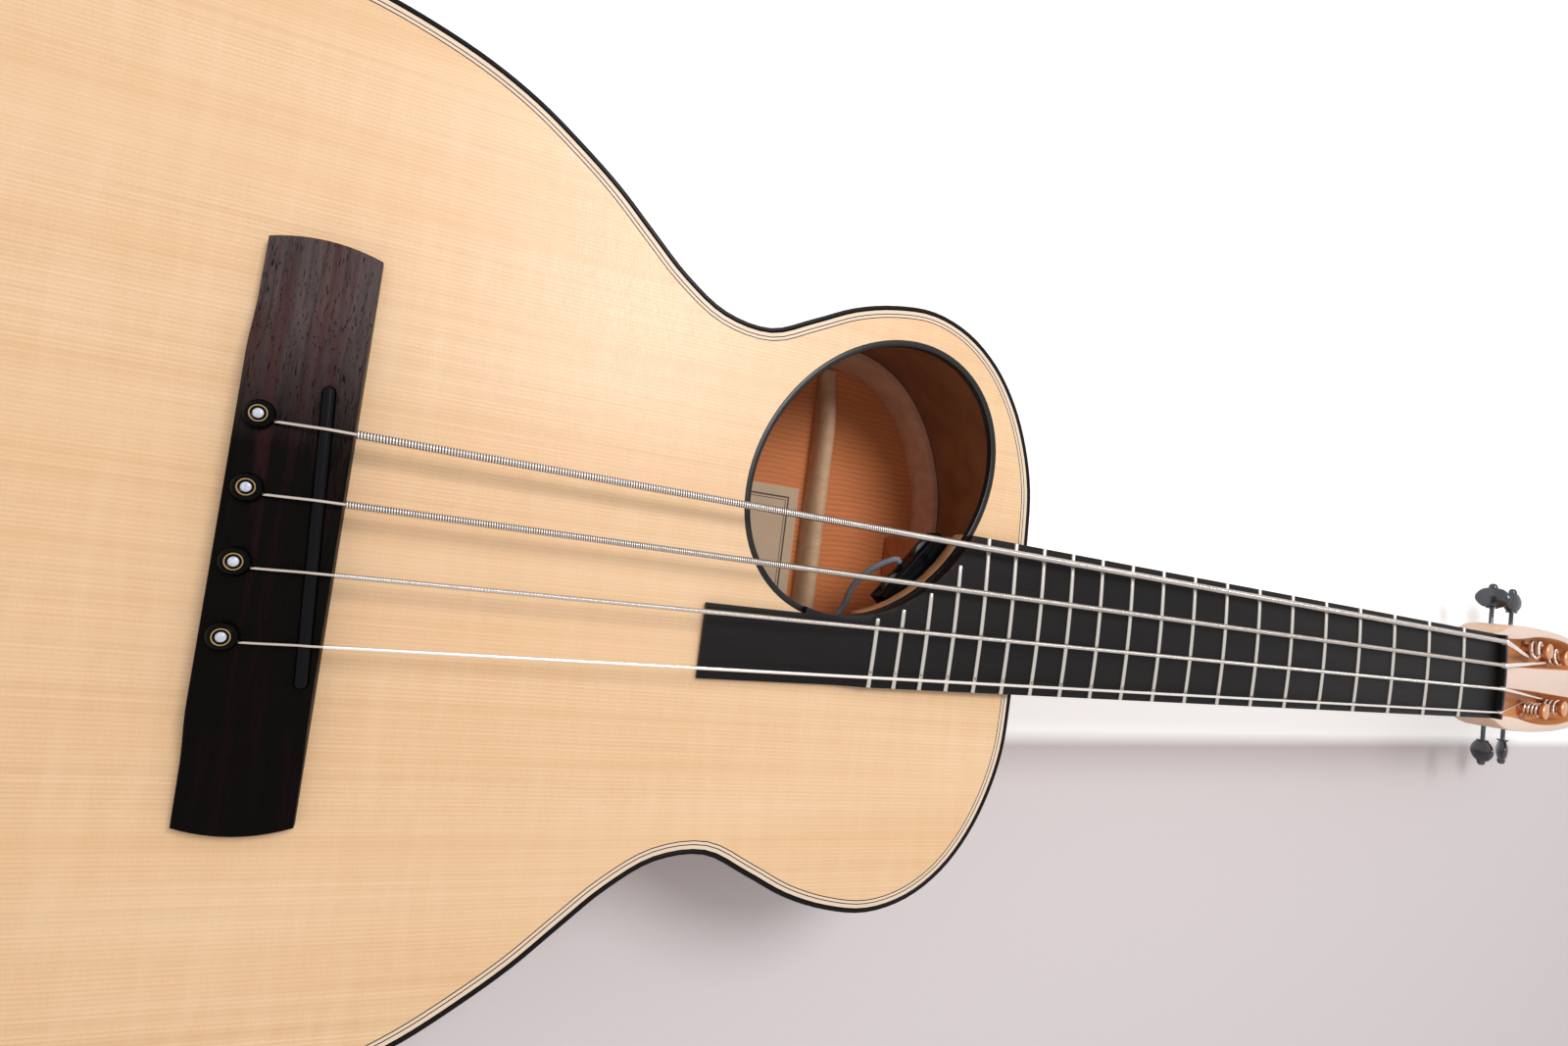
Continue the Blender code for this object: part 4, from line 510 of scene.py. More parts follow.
def soften(bm, edges, width, segments=3):
    if edges and width > 0:
        bmesh.ops.bevel(bm, geom=list(edges), offset=width, offset_type="OFFSET", segments=segments,
                        profile=0.5, affect="EDGES", material=-1, clamp_overlap=True)


def edges_at(bm, height, angle=math.radians(50)):
    """Sharp edges that lie at one height."""
    bm.normal_update()
    found = []
    for edge in bm.edges:
        if all(abs(vert.co.z - height) < 1e-6 for vert in edge.verts) and len(edge.link_faces) == 2:
            if edge.calc_face_angle(0.0) > angle:
                found.append(edge)
    return found


def slab(outline, low, high, round_top=0.0, round_low=0.0, segments=3):
    """A flat outline raised to a plate with rounded rims."""
    bm = bmesh.new()
    verts, _ = edge_loop(bm, [(point[0], point[1], low) for point in outline])
    face = bm.faces.new(verts)
    raise_patch(bm, [face], high - low)
    bmesh.ops.recalc_face_normals(bm, faces=bm.faces)
    soften(bm, edges_at(bm, high), round_top, segments)
    soften(bm, edges_at(bm, low), round_low, segments)
    return bm


def band(outer, inner, low, high, round_top=0.0, segments=2):
    """A ring-shaped plate between two outlines of equally many points."""
    rings = [[(*point, low) for point in outer], [(*point, high) for point in outer],
             [(*point, high) for point in inner], [(*point, low) for point in inner]]
    bm = skin(rings, closed=True)
    bmesh.ops.recalc_face_normals(bm, faces=bm.faces)
    soften(bm, edges_at(bm, high), round_top, segments)
    return bm


def turned(profile, steps=48, place=None):
    """A profile of (radius, height) pairs spun round Z."""
    bm = bmesh.new()
    verts, edges = edge_loop(bm, [(radius, 0, height) for radius, height in profile], closed=False)
    bmesh.ops.spin(bm, geom=verts + edges, cent=(0, 0, 0), axis=(0, 0, 1), angle=2 * math.pi, steps=steps,
                   use_merge=True, use_duplicate=False)
    bmesh.ops.remove_doubles(bm, verts=bm.verts, dist=1e-7)
    bmesh.ops.holes_fill(bm, edges=[edge for edge in bm.edges if edge.is_boundary])
    bmesh.ops.recalc_face_normals(bm, faces=bm.faces)
    if place is not None:
        bmesh.ops.transform(bm, matrix=place, verts=bm.verts)
    return bm


def block(low, high, rounding=0.0, place=None):
    bm = bmesh.new()
    bmesh.ops.create_cube(bm, size=1)
    bmesh.ops.scale(bm, vec=Vector(high) - Vector(low), verts=bm.verts)
    bmesh.ops.translate(bm, vec=(Vector(high) + Vector(low)) / 2, verts=bm.verts)
    soften(bm, bm.edges[:], rounding, 2)
    if place is not None:
        bmesh.ops.transform(bm, matrix=place, verts=bm.verts)
    return bm


def merged(*parts):
    """Several bmeshes in one."""
    bm = bmesh.new()
    for part in parts:
        mesh = bpy.data.meshes.new("part")
        part.to_mesh(mesh)
        part.free()
        bm.from_mesh(mesh)
        bpy.data.meshes.remove(mesh)
    return bm


def cad_copy(node, rounding=0.0, segments=2, angle=30):
    """A node's own mesh with its triangles joined into faces and its sharp edges rounded."""
    bm = bmesh.new()
    bm.from_mesh(frame["nodes"][node].data)
    bmesh.ops.remove_doubles(bm, verts=bm.verts, dist=2e-6)
    bmesh.ops.recalc_face_normals(bm, faces=bm.faces)
    bmesh.ops.dissolve_limit(bm, angle_limit=math.radians(1.5), verts=bm.verts, edges=bm.edges)
    if rounding:
        sharp = [edge for edge in bm.edges if len(edge.link_faces) == 2
                 and edge.calc_face_angle(0.0) > math.radians(angle)]
        soften(bm, sharp, rounding, segments)
    return bm


def cut(made, tool, operation="DIFFERENCE"):
    """Cuts one piece with a bmesh and keeps the result as its own mesh."""
    mesh = bpy.data.meshes.new("tool")
    bmesh.ops.recalc_face_normals(tool, faces=tool.faces)
    tool.to_mesh(mesh)
    tool.free()
    blade = bpy.data.objects.new("tool", mesh)
    bpy.context.scene.collection.objects.link(blade)
    step = made.modifiers.new("cut", "BOOLEAN")
    step.operation, step.solver, step.object = operation, "EXACT", blade
    settle(made)
    bpy.data.objects.remove(blade)
    bpy.data.meshes.remove(mesh)
    return made


def settle(made):
    """Applies a piece's modifiers to its mesh."""
    bpy.context.view_layer.update()
    result = bpy.data.meshes.new_from_object(made.evaluated_get(bpy.context.evaluated_depsgraph_get()))
    old = made.data
    made.modifiers.clear()
    made.data = result
    result.name = made.name
    bpy.data.meshes.remove(old)
    result.shade_smooth()
    result.set_sharp_from_angle(angle=math.radians(35))
    return made


def rounded(made, width, segments=2, angle=40, weld=0.0):
    """Rounds the sharp edges. With a weld, shorter edges close first, so they don't hold it back."""
    if weld:
        bm = bmesh.new()
        bm.from_mesh(made.data)
        bmesh.ops.remove_doubles(bm, verts=bm.verts, dist=weld)
        bmesh.ops.dissolve_degenerate(bm, edges=bm.edges, dist=weld / 2)
        bm.to_mesh(made.data)
        bm.free()
    step = made.modifiers.new("round", "BEVEL")
    step.width, step.segments, step.limit_method = width, segments, "ANGLE"
    step.angle_limit, step.use_clamp_overlap = math.radians(angle), not weld
    return settle(made)


def smooth_line(points, per_span=12, closed=False):
    """Points on a smooth curve through the given ones."""
    count = len(points)
    found = []
    spans = range(count if closed else count - 1)
    for k in spans:
        start, end = points[k], points[(k + 1) % count]
        before = points[k - 1] if closed or k > 0 else start * 2 - end
        after = points[(k + 2) % count] if closed or k + 2 < count else end * 2 - start
        length = (end - start).length
        lead = (end - before) * length / ((start - before).length + length)
        tail = (after - start) * length / ((after - end).length + length)
        for step in range(per_span):
            t = step / per_span
            found.append((2 * t ** 3 - 3 * t ** 2 + 1) * start + (t ** 3 - 2 * t ** 2 + t) * lead
                         + (3 * t ** 2 - 2 * t ** 3) * end + (t ** 3 - t ** 2) * tail)
    if not closed:
        found.append(points[-1].copy())
    return found


# Body outline, read from the back plate


def plate_corners():
    """The back plate's own corners in order round the body."""
    corners = {}
    for vertex in frame["nodes"]["back"].data.vertices:
        corners[(round(vertex.co.x, 5), round(vertex.co.y, 5))] = Vector((vertex.co.x, vertex.co.y))
    middle = (BACK_LOW.x + BACK_HIGH.x) / 2
    return sorted(corners.values(), key=lambda corner: math.atan2(corner.y, corner.x - middle))


class Outline:
    """Smooth outline of the body with exact insets."""

    def __init__(self):
        self.points = smooth_line(plate_corners(), 4, closed=True)
        self.normals = []
        count = len(self.points)
        for k in range(count):
            before = (self.points[k] - self.points[k - 1]).normalized()
            after = (self.points[(k + 1) % count] - self.points[k]).normalized()
            first, second = Vector((before.y, -before.x)), Vector((after.y, -after.x))
            self.normals.append((first + second) / (1 + first.dot(second)))

    def inset(self, distance):
        """The body's edge drawn in by a distance; the plate itself lies EDGE inside it."""
        return [point + normal * (EDGE - distance) for point, normal in zip(self.points, self.normals)]


BODY_EDGE = Outline()


def hole_line(inset=0.0, steps=96):
    s = sizes()
    turn = Matrix.Rotation(s.hole_turn, 2)
    found = []
    for k in range(steps):
        angle = 2 * math.pi * k / steps
        spot = turn @ Vector(((s.hole_long - inset) * math.cos(angle),
                              (s.hole_short - inset) * math.sin(angle)))
        found.append((s.hole_x + spot.x, s.hole_y + spot.y))
    return found


def half_side(bm, side):
    """Leaves one side of the centre line, closed along it."""
    bmesh.ops.bisect_plane(bm, geom=bm.verts[:] + bm.edges[:] + bm.faces[:], plane_co=(0, side * SEAT / 2, 0),
                           plane_no=(0, -side, 0), clear_outer=True)
    bmesh.ops.holes_fill(bm, edges=[edge for edge in bm.edges if edge.is_boundary])
    return bm


class PieceOperator(bpy.types.Operator):
    bl_options = {"REGISTER", "UNDO"}


class UKULELE_OT_plates(PieceOperator):
    """Soundboard with its soundhole and inlaid edge lines, and the back"""
    bl_idname = "ukulele.plates"
    bl_label = "Soundboard and back"

    def execute(self, context):
        s = sizes()
        low = BOARD_LOW.z
        line_outer = s.binding_width + s.outer_band
        line_inner = line_outer + s.fine_line + s.inner_band
        field = line_inner + s.fine_line
        board = finished("soundboard_top", slab(BODY_EDGE.inset(field), low, TOP), "spruce_top",
                         stands_for=["soundboard"])
        cut(board, slab(hole_line(0.0), low - 0.01, TOP + 0.01))
        for number in range(1, 5):
            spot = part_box("bridge_pin_%d" % number)
            middle = (spot[0] + spot[1]) / 2
            cut(board, turned([(PIN_BORE, low - 0.01), (PIN_BORE, TOP + 0.01)], 24,
                              Matrix.Translation((middle.x, middle.y, 0))))
        for name, outer, inner, finish in (
                ("edge_band_outer", EDGE, line_outer, "pale_band"),
                ("edge_line_outer", line_outer, line_outer + s.fine_line, "black_line"),
                ("edge_band_inner", line_outer + s.fine_line, line_inner, "pale_band"),
                ("edge_line_inner", line_inner, field, "black_line")):
            strip = band(BODY_EDGE.inset(outer), BODY_EDGE.inset(inner), low, TOP)
            finished(name, strip, finish)
        outer_face = slab(BODY_EDGE.inset(EDGE), BACK_LOW.z, BACK_HIGH.z)
        back = finished("back_plate", outer_face, ["back_wood", "inner_back_wood"],
                        stands_for=["back"])
        for polygon in back.data.polygons:
            polygon.material_index = 1 if polygon.normal.z > 0.5 else 0
        return {"FINISHED"}


class UKULELE_OT_sides(PieceOperator):
    """Bent sides with the black bindings at both edges"""
    bl_idname = "ukulele.sides"
    bl_label = "Sides and bindings"

    def execute(self, context):
        s = sizes()
        wall = s.side_thickness
        rebate = BINDING_HEIGHT + SEAT
        for name, side in (("side_bass", 1), ("side_treble", -1)):
            profile = [(wall, SIDE_LOW.z), (EDGE, SIDE_LOW.z), (EDGE, rebate), (0.0, rebate),
                       (0.0, TOP - rebate), (EDGE, TOP - rebate), (EDGE, SIDE_HIGH.z), (wall, SIDE_HIGH.z)]
            rings = [[(*point, height) for point in BODY_EDGE.inset(inset)] for inset, height in profile]
            made = finished(name + "_wood", half_side(skin(rings, closed=True), side),
                            ["side_wood", "inner_side_wood"], stands_for=[name])
            inner = BODY_EDGE.inset(wall)
            for polygon in made.data.polygons:
                spot = Vector(polygon.center[:2])
                nearest = min((point - spot).length for point in inner)
                polygon.material_index = 1 if nearest < wall * 0.35 and abs(polygon.normal.z) < 0.5 else 0
            cut(made, jack_bore())
        for name, low in (("top_binding", RING_LOW.z), ("back_binding", BACK_LOW.z)):
            ring = band(BODY_EDGE.inset(0.0), BODY_EDGE.inset(s.binding_width), low, low + BINDING_HEIGHT)
            outer = low + BINDING_HEIGHT if low > TOP / 2 else low
            soften(ring, edges_at(ring, outer), 0.0004, 3)
            finished(name + "_strip", ring, "black_binding", stands_for=[name])
        return {"FINISHED"}


def jack_bore():
    low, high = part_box("end_jack")
    middle = (low + high) / 2
    place = Matrix.Translation((SIDE_LOW.x, 0, middle.z)) @ Matrix.Rotation(math.radians(-90), 4, "Y")
    return turned([(0.0048, -0.02), (0.0048, 0.02)], 32, place)


class UKULELE_OT_inside(PieceOperator):
    """Linings, blocks, braces, plates and the blank paper label inside the body"""
    bl_idname = "ukulele.inside"
    bl_label = "Inside of the body"

    def execute(self, context):
        s = sizes()
        outer = s.side_thickness + SEAT
        inner, toe = outer + s.lining_width, outer + s.lining_toe
        low, high = SIDE_LOW.z, SIDE_HIGH.z
        tall = s.lining_height
        profiles = {"back": [(outer, low), (inner, low), (inner, low + tall * 0.4), (toe, low + tall),
                             (outer, low + tall)],
                    "top": [(outer, high - tall), (toe, high - tall), (inner, high - tall * 0.4),
                            (inner, high), (outer, high)]}
        front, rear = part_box("neck_block"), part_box("tail_block")
        for end, profile in profiles.items():
            rings = [[(*point, height) for point in BODY_EDGE.inset(inset)] for inset, height in profile]
            for name, side in (("bass", 1), ("treble", -1)):
                made = half_side(skin(rings, closed=True), side)
                lining = finished("%s_lining_%s_wood" % (end, name), made, "lining_wood",
                                  stands_for=["%s_lining_%s" % (end, name)])
                for near, far in (front, rear):
                    cut(lining, block(near - Vector((0.02, SEAT, 0.01)), far + Vector((0.02, SEAT, 0.01))))
        for node, finish, slot in (("neck_block", "block_wood", "mahogany"),
                                   ("tail_block", "block_wood", "mahogany"),
                                   ("bridge_plate", "plate_wood", "maple"),
                                   ("waist_brace", "brace_wood", "brace_spruce"),
                                   ("tone_bar", "brace_wood", "brace_spruce"),
                                   ("fretboard_patch", "patch_wood", "mahogany")):
            finished(node + "_wood", cad_copy(node, 0.0004), finish, stands_for=[node])
        for number in range(1, 4):
            node = "back_brace_%d" % number
            finished(node + "_wood", brace_shape(node), "brace_wood", stands_for=[node])
        self.make_label()
        return {"FINISHED"}

    def make_label(self):
        """A blank cream label with a plain double border, glued inside the back."""
        base = BACK_HIGH.z
        right, top = 0.1650, 0.0436
        width, tall = 0.050, 0.078
        paper = block((right - width, top - tall, base), (right, top, base + 0.00022))
        finished("label", paper, "label_paper")

        def border(inset):
            return [(right - inset, top - inset), (right - width + inset, top - inset),
                    (right - width + inset, top - tall + inset), (right - inset, top - tall + inset)]

        for number, (inset, line) in enumerate(((0.0042, 0.0007), (0.0056, 0.0003)), 1):
            frame_line = band(border(inset), border(inset + line), base + 0.0001, base + 0.00026)
            finished("label_border_%d" % number, frame_line, "label_ink")


def brace_shape(node):
    """A back brace with a rounded crest and ends that fall away in a long curve."""
    low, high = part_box(node)
    half, middle = (high.x - low.x) / 2, (high.x + low.x) / 2
    rings = []
    steps = 40
    for k in range(steps + 1):
        share = k / steps * 2 - 1
        edge = min(1.0, (1 - abs(share)) / 0.30)
        tall = (high.z - low.z) * (0.30 + 0.70 * math.sin(edge * math.pi / 2) ** 1.3)
        ring = [(middle - half, 0, 0), (middle + half, 0, 0), (middle + half, 0, tall * 0.52)]
        for step in range(1, 8):
            angle = math.pi * step / 8
            ring.append((middle + half * math.cos(angle) * 0.94, 0, tall * (0.52 + 0.48 * math.sin(angle))))
        ring.append((middle - half, 0, tall * 0.52))
        y = low.y + (high.y - low.y) * k / steps
        rings.append([(x, y, low.z + z) for x, _, z in ring])
    return skin(rings)


class UKULELE_OT_rim(PieceOperator):
    """Black rim round the soundhole"""
    bl_idname = "ukulele.rim"
    bl_label = "Soundhole rim"

    def execute(self, context):
        ring = band(hole_line(), hole_line(sizes().rim_width), BOARD_LOW.z, TOP, 0.0003)
        finished("rim", ring, "rim_plastic", stands_for=["soundhole_rim"])
        return {"FINISHED"}


class UKULELE_OT_bridge(PieceOperator):
    """Bridge with scooped wings, slanted saddle and four ringed pins"""
    bl_idname = "ukulele.bridge"
    bl_label = "Bridge, saddle and pins"

    flat_width: FloatProperty(name="Flat width", description="Full-height middle of the bridge",
                              default=0.090, unit="LENGTH")
    scoop_length: FloatProperty(name="Scoop length", description="Curved fall to each wing", default=0.018,
                                unit="LENGTH")
    end_height: FloatProperty(name="End height", description="Thickness at the wing tips", default=0.0038,
                              unit="LENGTH")
    end_bulge: FloatProperty(name="End bulge", description="Rise of the arc at each end", default=0.0023,
                             unit="LENGTH")

    def top_height(self, across):
        """Height of the bridge's top at a distance from the middle."""
        full = BRIDGE_HIGH.z
        drop = full - BRIDGE_LOW.z - self.end_height
        share = (abs(across) - self.flat_width / 2) / self.scoop_length
        if share <= 0:
            return full
        if share < 1:
            return full - drop * 0.82 * (0.5 - 0.5 * math.cos(math.pi * share))
        rest = (abs(across) - self.flat_width / 2 - self.scoop_length) / (
            BRIDGE_HIGH.y - self.flat_width / 2 - self.scoop_length)
        return full - drop * (0.82 + 0.18 * min(1.0, rest))

    def execute(self, context):
        steps, half = 96, BRIDGE_HIGH.y
        middle, reach = (BRIDGE_LOW.x + BRIDGE_HIGH.x) / 2, (BRIDGE_HIGH.x - BRIDGE_LOW.x) / 2
        bm = bmesh.new()
        bmesh.ops.create_grid(bm, x_segments=12, y_segments=steps, size=1)
        for vert in bm.verts:
            u, v = vert.co.x, vert.co.y
            y = v * (half - self.end_bulge * u * u)
            vert.co = (middle + reach * u, y, self.top_height(y))
        made = bmesh.ops.extrude_face_region(bm, geom=bm.faces[:])
        for item in made["geom"]:
            if isinstance(item, bmesh.types.BMVert):
                item.co.z = BRIDGE_LOW.z
        bmesh.ops.recalc_face_normals(bm, faces=bm.faces)
        bm.normal_update()
        rim = [edge for edge in bm.edges if len(edge.link_faces) == 2 and edge.calc_face_angle(0.0) > 1.0
               and min(vert.co.z for vert in edge.verts) > BRIDGE_LOW.z + 0.001]
        soften(bm, rim, 0.0007, 3)
        bridge = finished("bridge_wood_block", bm, "bridge_wood", stands_for=["bridge"])
        cut(bridge, slab(self.saddle_line(SEAT), SADDLE_LOW.z - SEAT, SADDLE_HIGH.z + 0.01))
        for number in range(1, 5):
            self.make_pin(bridge, number)
        saddle = slab(self.saddle_line(0.0), SADDLE_LOW.z, SADDLE_HIGH.z, 0.0011, 0.0, 5)
        finished("saddle_bar", saddle, "saddle_black", stands_for=["saddle"])
        return {"FINISHED"}

    def saddle_line(self, grow):
        """Slot shape with round ends, turned so that its corners meet the saddle's box."""
        thick, long = SADDLE_THICK, SADDLE_LONG
        turn = math.asin(max(-1.0, min(1.0, (SADDLE_HIGH.x - SADDLE_LOW.x - thick) / (long - thick))))
        middle = ((SADDLE_LOW.x + SADDLE_HIGH.x) / 2, 0)
        radius, straight = thick / 2 + grow, long / 2 - thick / 2
        points = []
        for end in (1, -1):
            for k in range(13):
                angle = math.pi * k / 12
                spot = Vector((end * radius * math.cos(angle), end * (straight + radius * math.sin(angle))))
                spot.rotate(Matrix.Rotation(turn, 2))
                points.append((middle[0] + spot.x, spot.y))
        return points

    def make_pin(self, bridge, number):
        """Black pin with a brass ring and a pearl eye, in its bore with a string slot."""
        body = "pin_%d" % number
        low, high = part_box("bridge_pin_%d" % number)
        x, y = (low.x + high.x) / 2, (low.y + high.y) / 2
        seat = BRIDGE_HIGH.z
        place = Matrix.Translation((x, y, seat))
        head, rise = (high.x - low.x) / 2, high.z - seat - SEAT
        bore = turned([(PIN_BORE, -0.02), (PIN_BORE, 0.0), (0.0030, 0.02)], 32, place)
        cut(bridge, bore)
        slot = block((0, -0.0007, -0.02), (head + 0.0012, 0.0007, 0.01), 0.0002,
                     place=place @ Matrix.Rotation(STRING_EXIT, 4, "Z"))
        cut(bridge, slot)
        dome = [(0.0, low.z - seat), (0.0016, low.z - seat), (0.0020, low.z - seat + 0.0010),
                (PIN_SHANK, 0.0), (PIN_SHANK, SEAT), (head * 0.80, SEAT), (head * 0.93, SEAT + rise * 0.07),
                (head, SEAT + rise * 0.25)]
        for k in range(1, 10):
            angle = math.pi / 2 * k / 13
            dome.append((head * math.cos(angle) ** 0.80, SEAT + rise * (0.30 + 0.62 * math.sin(angle))))
        dome += [(0.0025, SEAT + rise * 0.87), (0.0023, SEAT + rise * 0.82), (0.0, SEAT + rise * 0.82)]
        finished("pin_%d_post" % number, turned(dome, 48, place), "gloss_black", body=body,
                 stands_for=["bridge_pin_%d" % number], sharp=50)
        lip = SEAT + rise * 0.80
        ring = [(0.00180, lip), (0.00183, lip + 0.00026), (0.00192, lip + 0.00044), (0.00204, lip + 0.00052),
                (0.00216, lip + 0.00046), (0.00226, lip + 0.00028), (0.00229, lip)]
        bm = turned(ring + [ring[0]], 48, place)
        finished("pin_%d_ring" % number, bm, "ring_brass", body=body)
        eye = [(0.0, lip), (0.00128, lip), (0.00126, lip + 0.00034), (0.00110, lip + 0.00050),
               (0.0007, lip + 0.00060), (0.0, lip + 0.00063)]
        finished("pin_%d_eye" % number, turned(eye, 32, place), "pearl", body=body)


def crown(across):
    radius = sizes().board_radius
    return radius - math.sqrt(radius ** 2 - across ** 2)


def board_half_width(x):
    """Half width of the tapered fretboard, from the nut's width to the width at its last fret."""
    narrow, narrow_at = NUT_HIGH.y, sizes().scale_length
    wide_at = narrow_at * 2 ** (-sizes().fret_count / 12)
    return narrow + (BOARD_HALF_AT_END - narrow) * max(0.0, narrow_at - x) / (narrow_at - wide_at)


class UKULELE_OT_fretboard(PieceOperator):
    """Fretboard cut round the soundhole, its frets and the nut"""
    bl_idname = "ukulele.fretboard"
    bl_label = "Fretboard, frets and nut"

    thickness: FloatProperty(name="Thickness", description="Fretboard at its middle", default=BOARD_THICKNESS,
                             unit="LENGTH")
    end_thickness: FloatProperty(name="End thickness", description="Lowered end beyond the frets",
                                 default=0.0028, unit="LENGTH")
    ramp: FloatProperty(name="Ramp", description="Length of the hollow ramp to the lowered end",
                        default=0.013, unit="LENGTH")
    end_edge: FloatProperty(name="End edge", description="Bass edge of the lowered end from the middle",
                            default=-0.0063, unit="LENGTH")

    def fret_at(self, number):
        return sizes().scale_length * 2 ** (-number / 12)

    def board_top(self, x):
        low = FRETS_LOW.z
        start = self.fret_at(sizes().fret_count) - sizes().fret_width
        share = min(1.0, max(0.0, (start - x) / self.ramp))
        flat = low + self.end_thickness
        full = low + self.thickness
        return flat + (full - flat) * (1 - share) ** 1.8

    def execute(self, context):
        low = FRETS_LOW.z
        start, end = sizes().scale_length - SEAT, FRETS_LOW.x
        bm = bmesh.new()
        bmesh.ops.create_grid(bm, x_segments=140, y_segments=16, size=1)
        for vert in bm.verts:
            x = start + (end - start) * (vert.co.x + 1) / 2
            y = vert.co.y * board_half_width(x)
            vert.co = (x, y, self.board_top(x) - crown(y))
        made = bmesh.ops.extrude_face_region(bm, geom=bm.faces[:])
        for item in made["geom"]:
            if isinstance(item, bmesh.types.BMVert):
                item.co.z = low
        board = finished("fretboard_wood_board", bm, "fretboard_wood", stands_for=["fretboard"])
        cut(board, slab(hole_line(sizes().rim_width, 128), TOP - 0.01, FRETS_HIGH.z + 0.01))
        reach = sizes().hole_long
        corner = block((end - reach, self.end_edge, TOP - 0.01),
                       (sizes().hole_x - sizes().hole_short * 0.52, self.end_edge + 2 * reach,
                        FRETS_HIGH.z + 0.01))
        cut(board, corner)
        rounded(board, 0.00025, 2, 50)
        for number in range(1, sizes().fret_count + 1):
            self.make_fret(number)
        nut = cad_copy("nut", 0.00035, 2, 40)
        finished("nut_bar", nut, "nut_black", stands_for=["nut"])
        return {"FINISHED"}

    def inside_hole(self, x, y):
        s = sizes()
        spot = Vector((x - s.hole_x, y - s.hole_y))
        spot.rotate(Matrix.Rotation(-s.hole_turn, 2))
        return (spot.x / (s.hole_long - 0.0009)) ** 2 + (spot.y / (s.hole_short - 0.0009)) ** 2 < 1

    def make_fret(self, number):
        """A domed bead spun along the fretboard's round top, stopped at the soundhole's edge."""
        s = sizes()
        x = self.fret_at(number)
        half = board_half_width(x) - 0.0002
        end = half
        while end > -half and self.inside_hole(x + s.fret_width / 2, end):
            end -= 0.0002
        while end > -half and self.inside_hole(x - s.fret_width / 2, end):
            end -= 0.0002
        base = FRETS_LOW.z + self.thickness
        centre = Vector((x, 0, base - s.board_radius))
        bm = bmesh.new()
        profile = [(s.fret_width / 2, -0.0008)]
        for k in range(11):
            angle = math.pi * k / 10
            profile.append((s.fret_width / 2 * math.cos(angle), s.fret_height * math.sin(angle) ** 0.8))
        profile.append((-s.fret_width / 2, -0.0008))
        verts, _ = edge_loop(bm, [(x + across, 0, base + up) for across, up in profile])
        face = bm.faces.new(verts)
        first, last = math.asin(-half / s.board_radius), math.asin(end / s.board_radius)
        bmesh.ops.rotate(bm, verts=bm.verts, cent=centre, matrix=Matrix.Rotation(-first, 3, "X"))
        bmesh.ops.spin(bm, geom=[face] + face.edges[:] + face.verts[:], cent=centre, axis=(-1, 0, 0),
                       angle=last - first, steps=18, use_merge=False, use_duplicate=False)
        bmesh.ops.remove_doubles(bm, verts=bm.verts, dist=1e-7)
        bm.normal_update()
        inner = [face for face in bm.faces if abs(face.normal.x) < 0.2 and abs(face.normal.z) < 0.3]
        ends = [edge for face in inner for edge in face.edges
                if min(vert.co.z for vert in edge.verts) > base - 0.0004 - crown(half)]
        soften(bm, set(ends), 0.00025, 2)
        finished("fret_%02d" % number, bm, "fret_metal", sharp=45)


def head_place():
    return Matrix.Translation((NUT_HIGH.x + SEAT, 0, TOP)) @ Matrix.Rotation(sizes().head_tilt, 4, "Y")


def post_spot(number):
    """Along and across the head for one post, read from its turning joint; 4 is the thickest string."""
    spot = head_place().inverted() @ joint_place("post_turn_%d" % number)
    return spot.x, spot.y


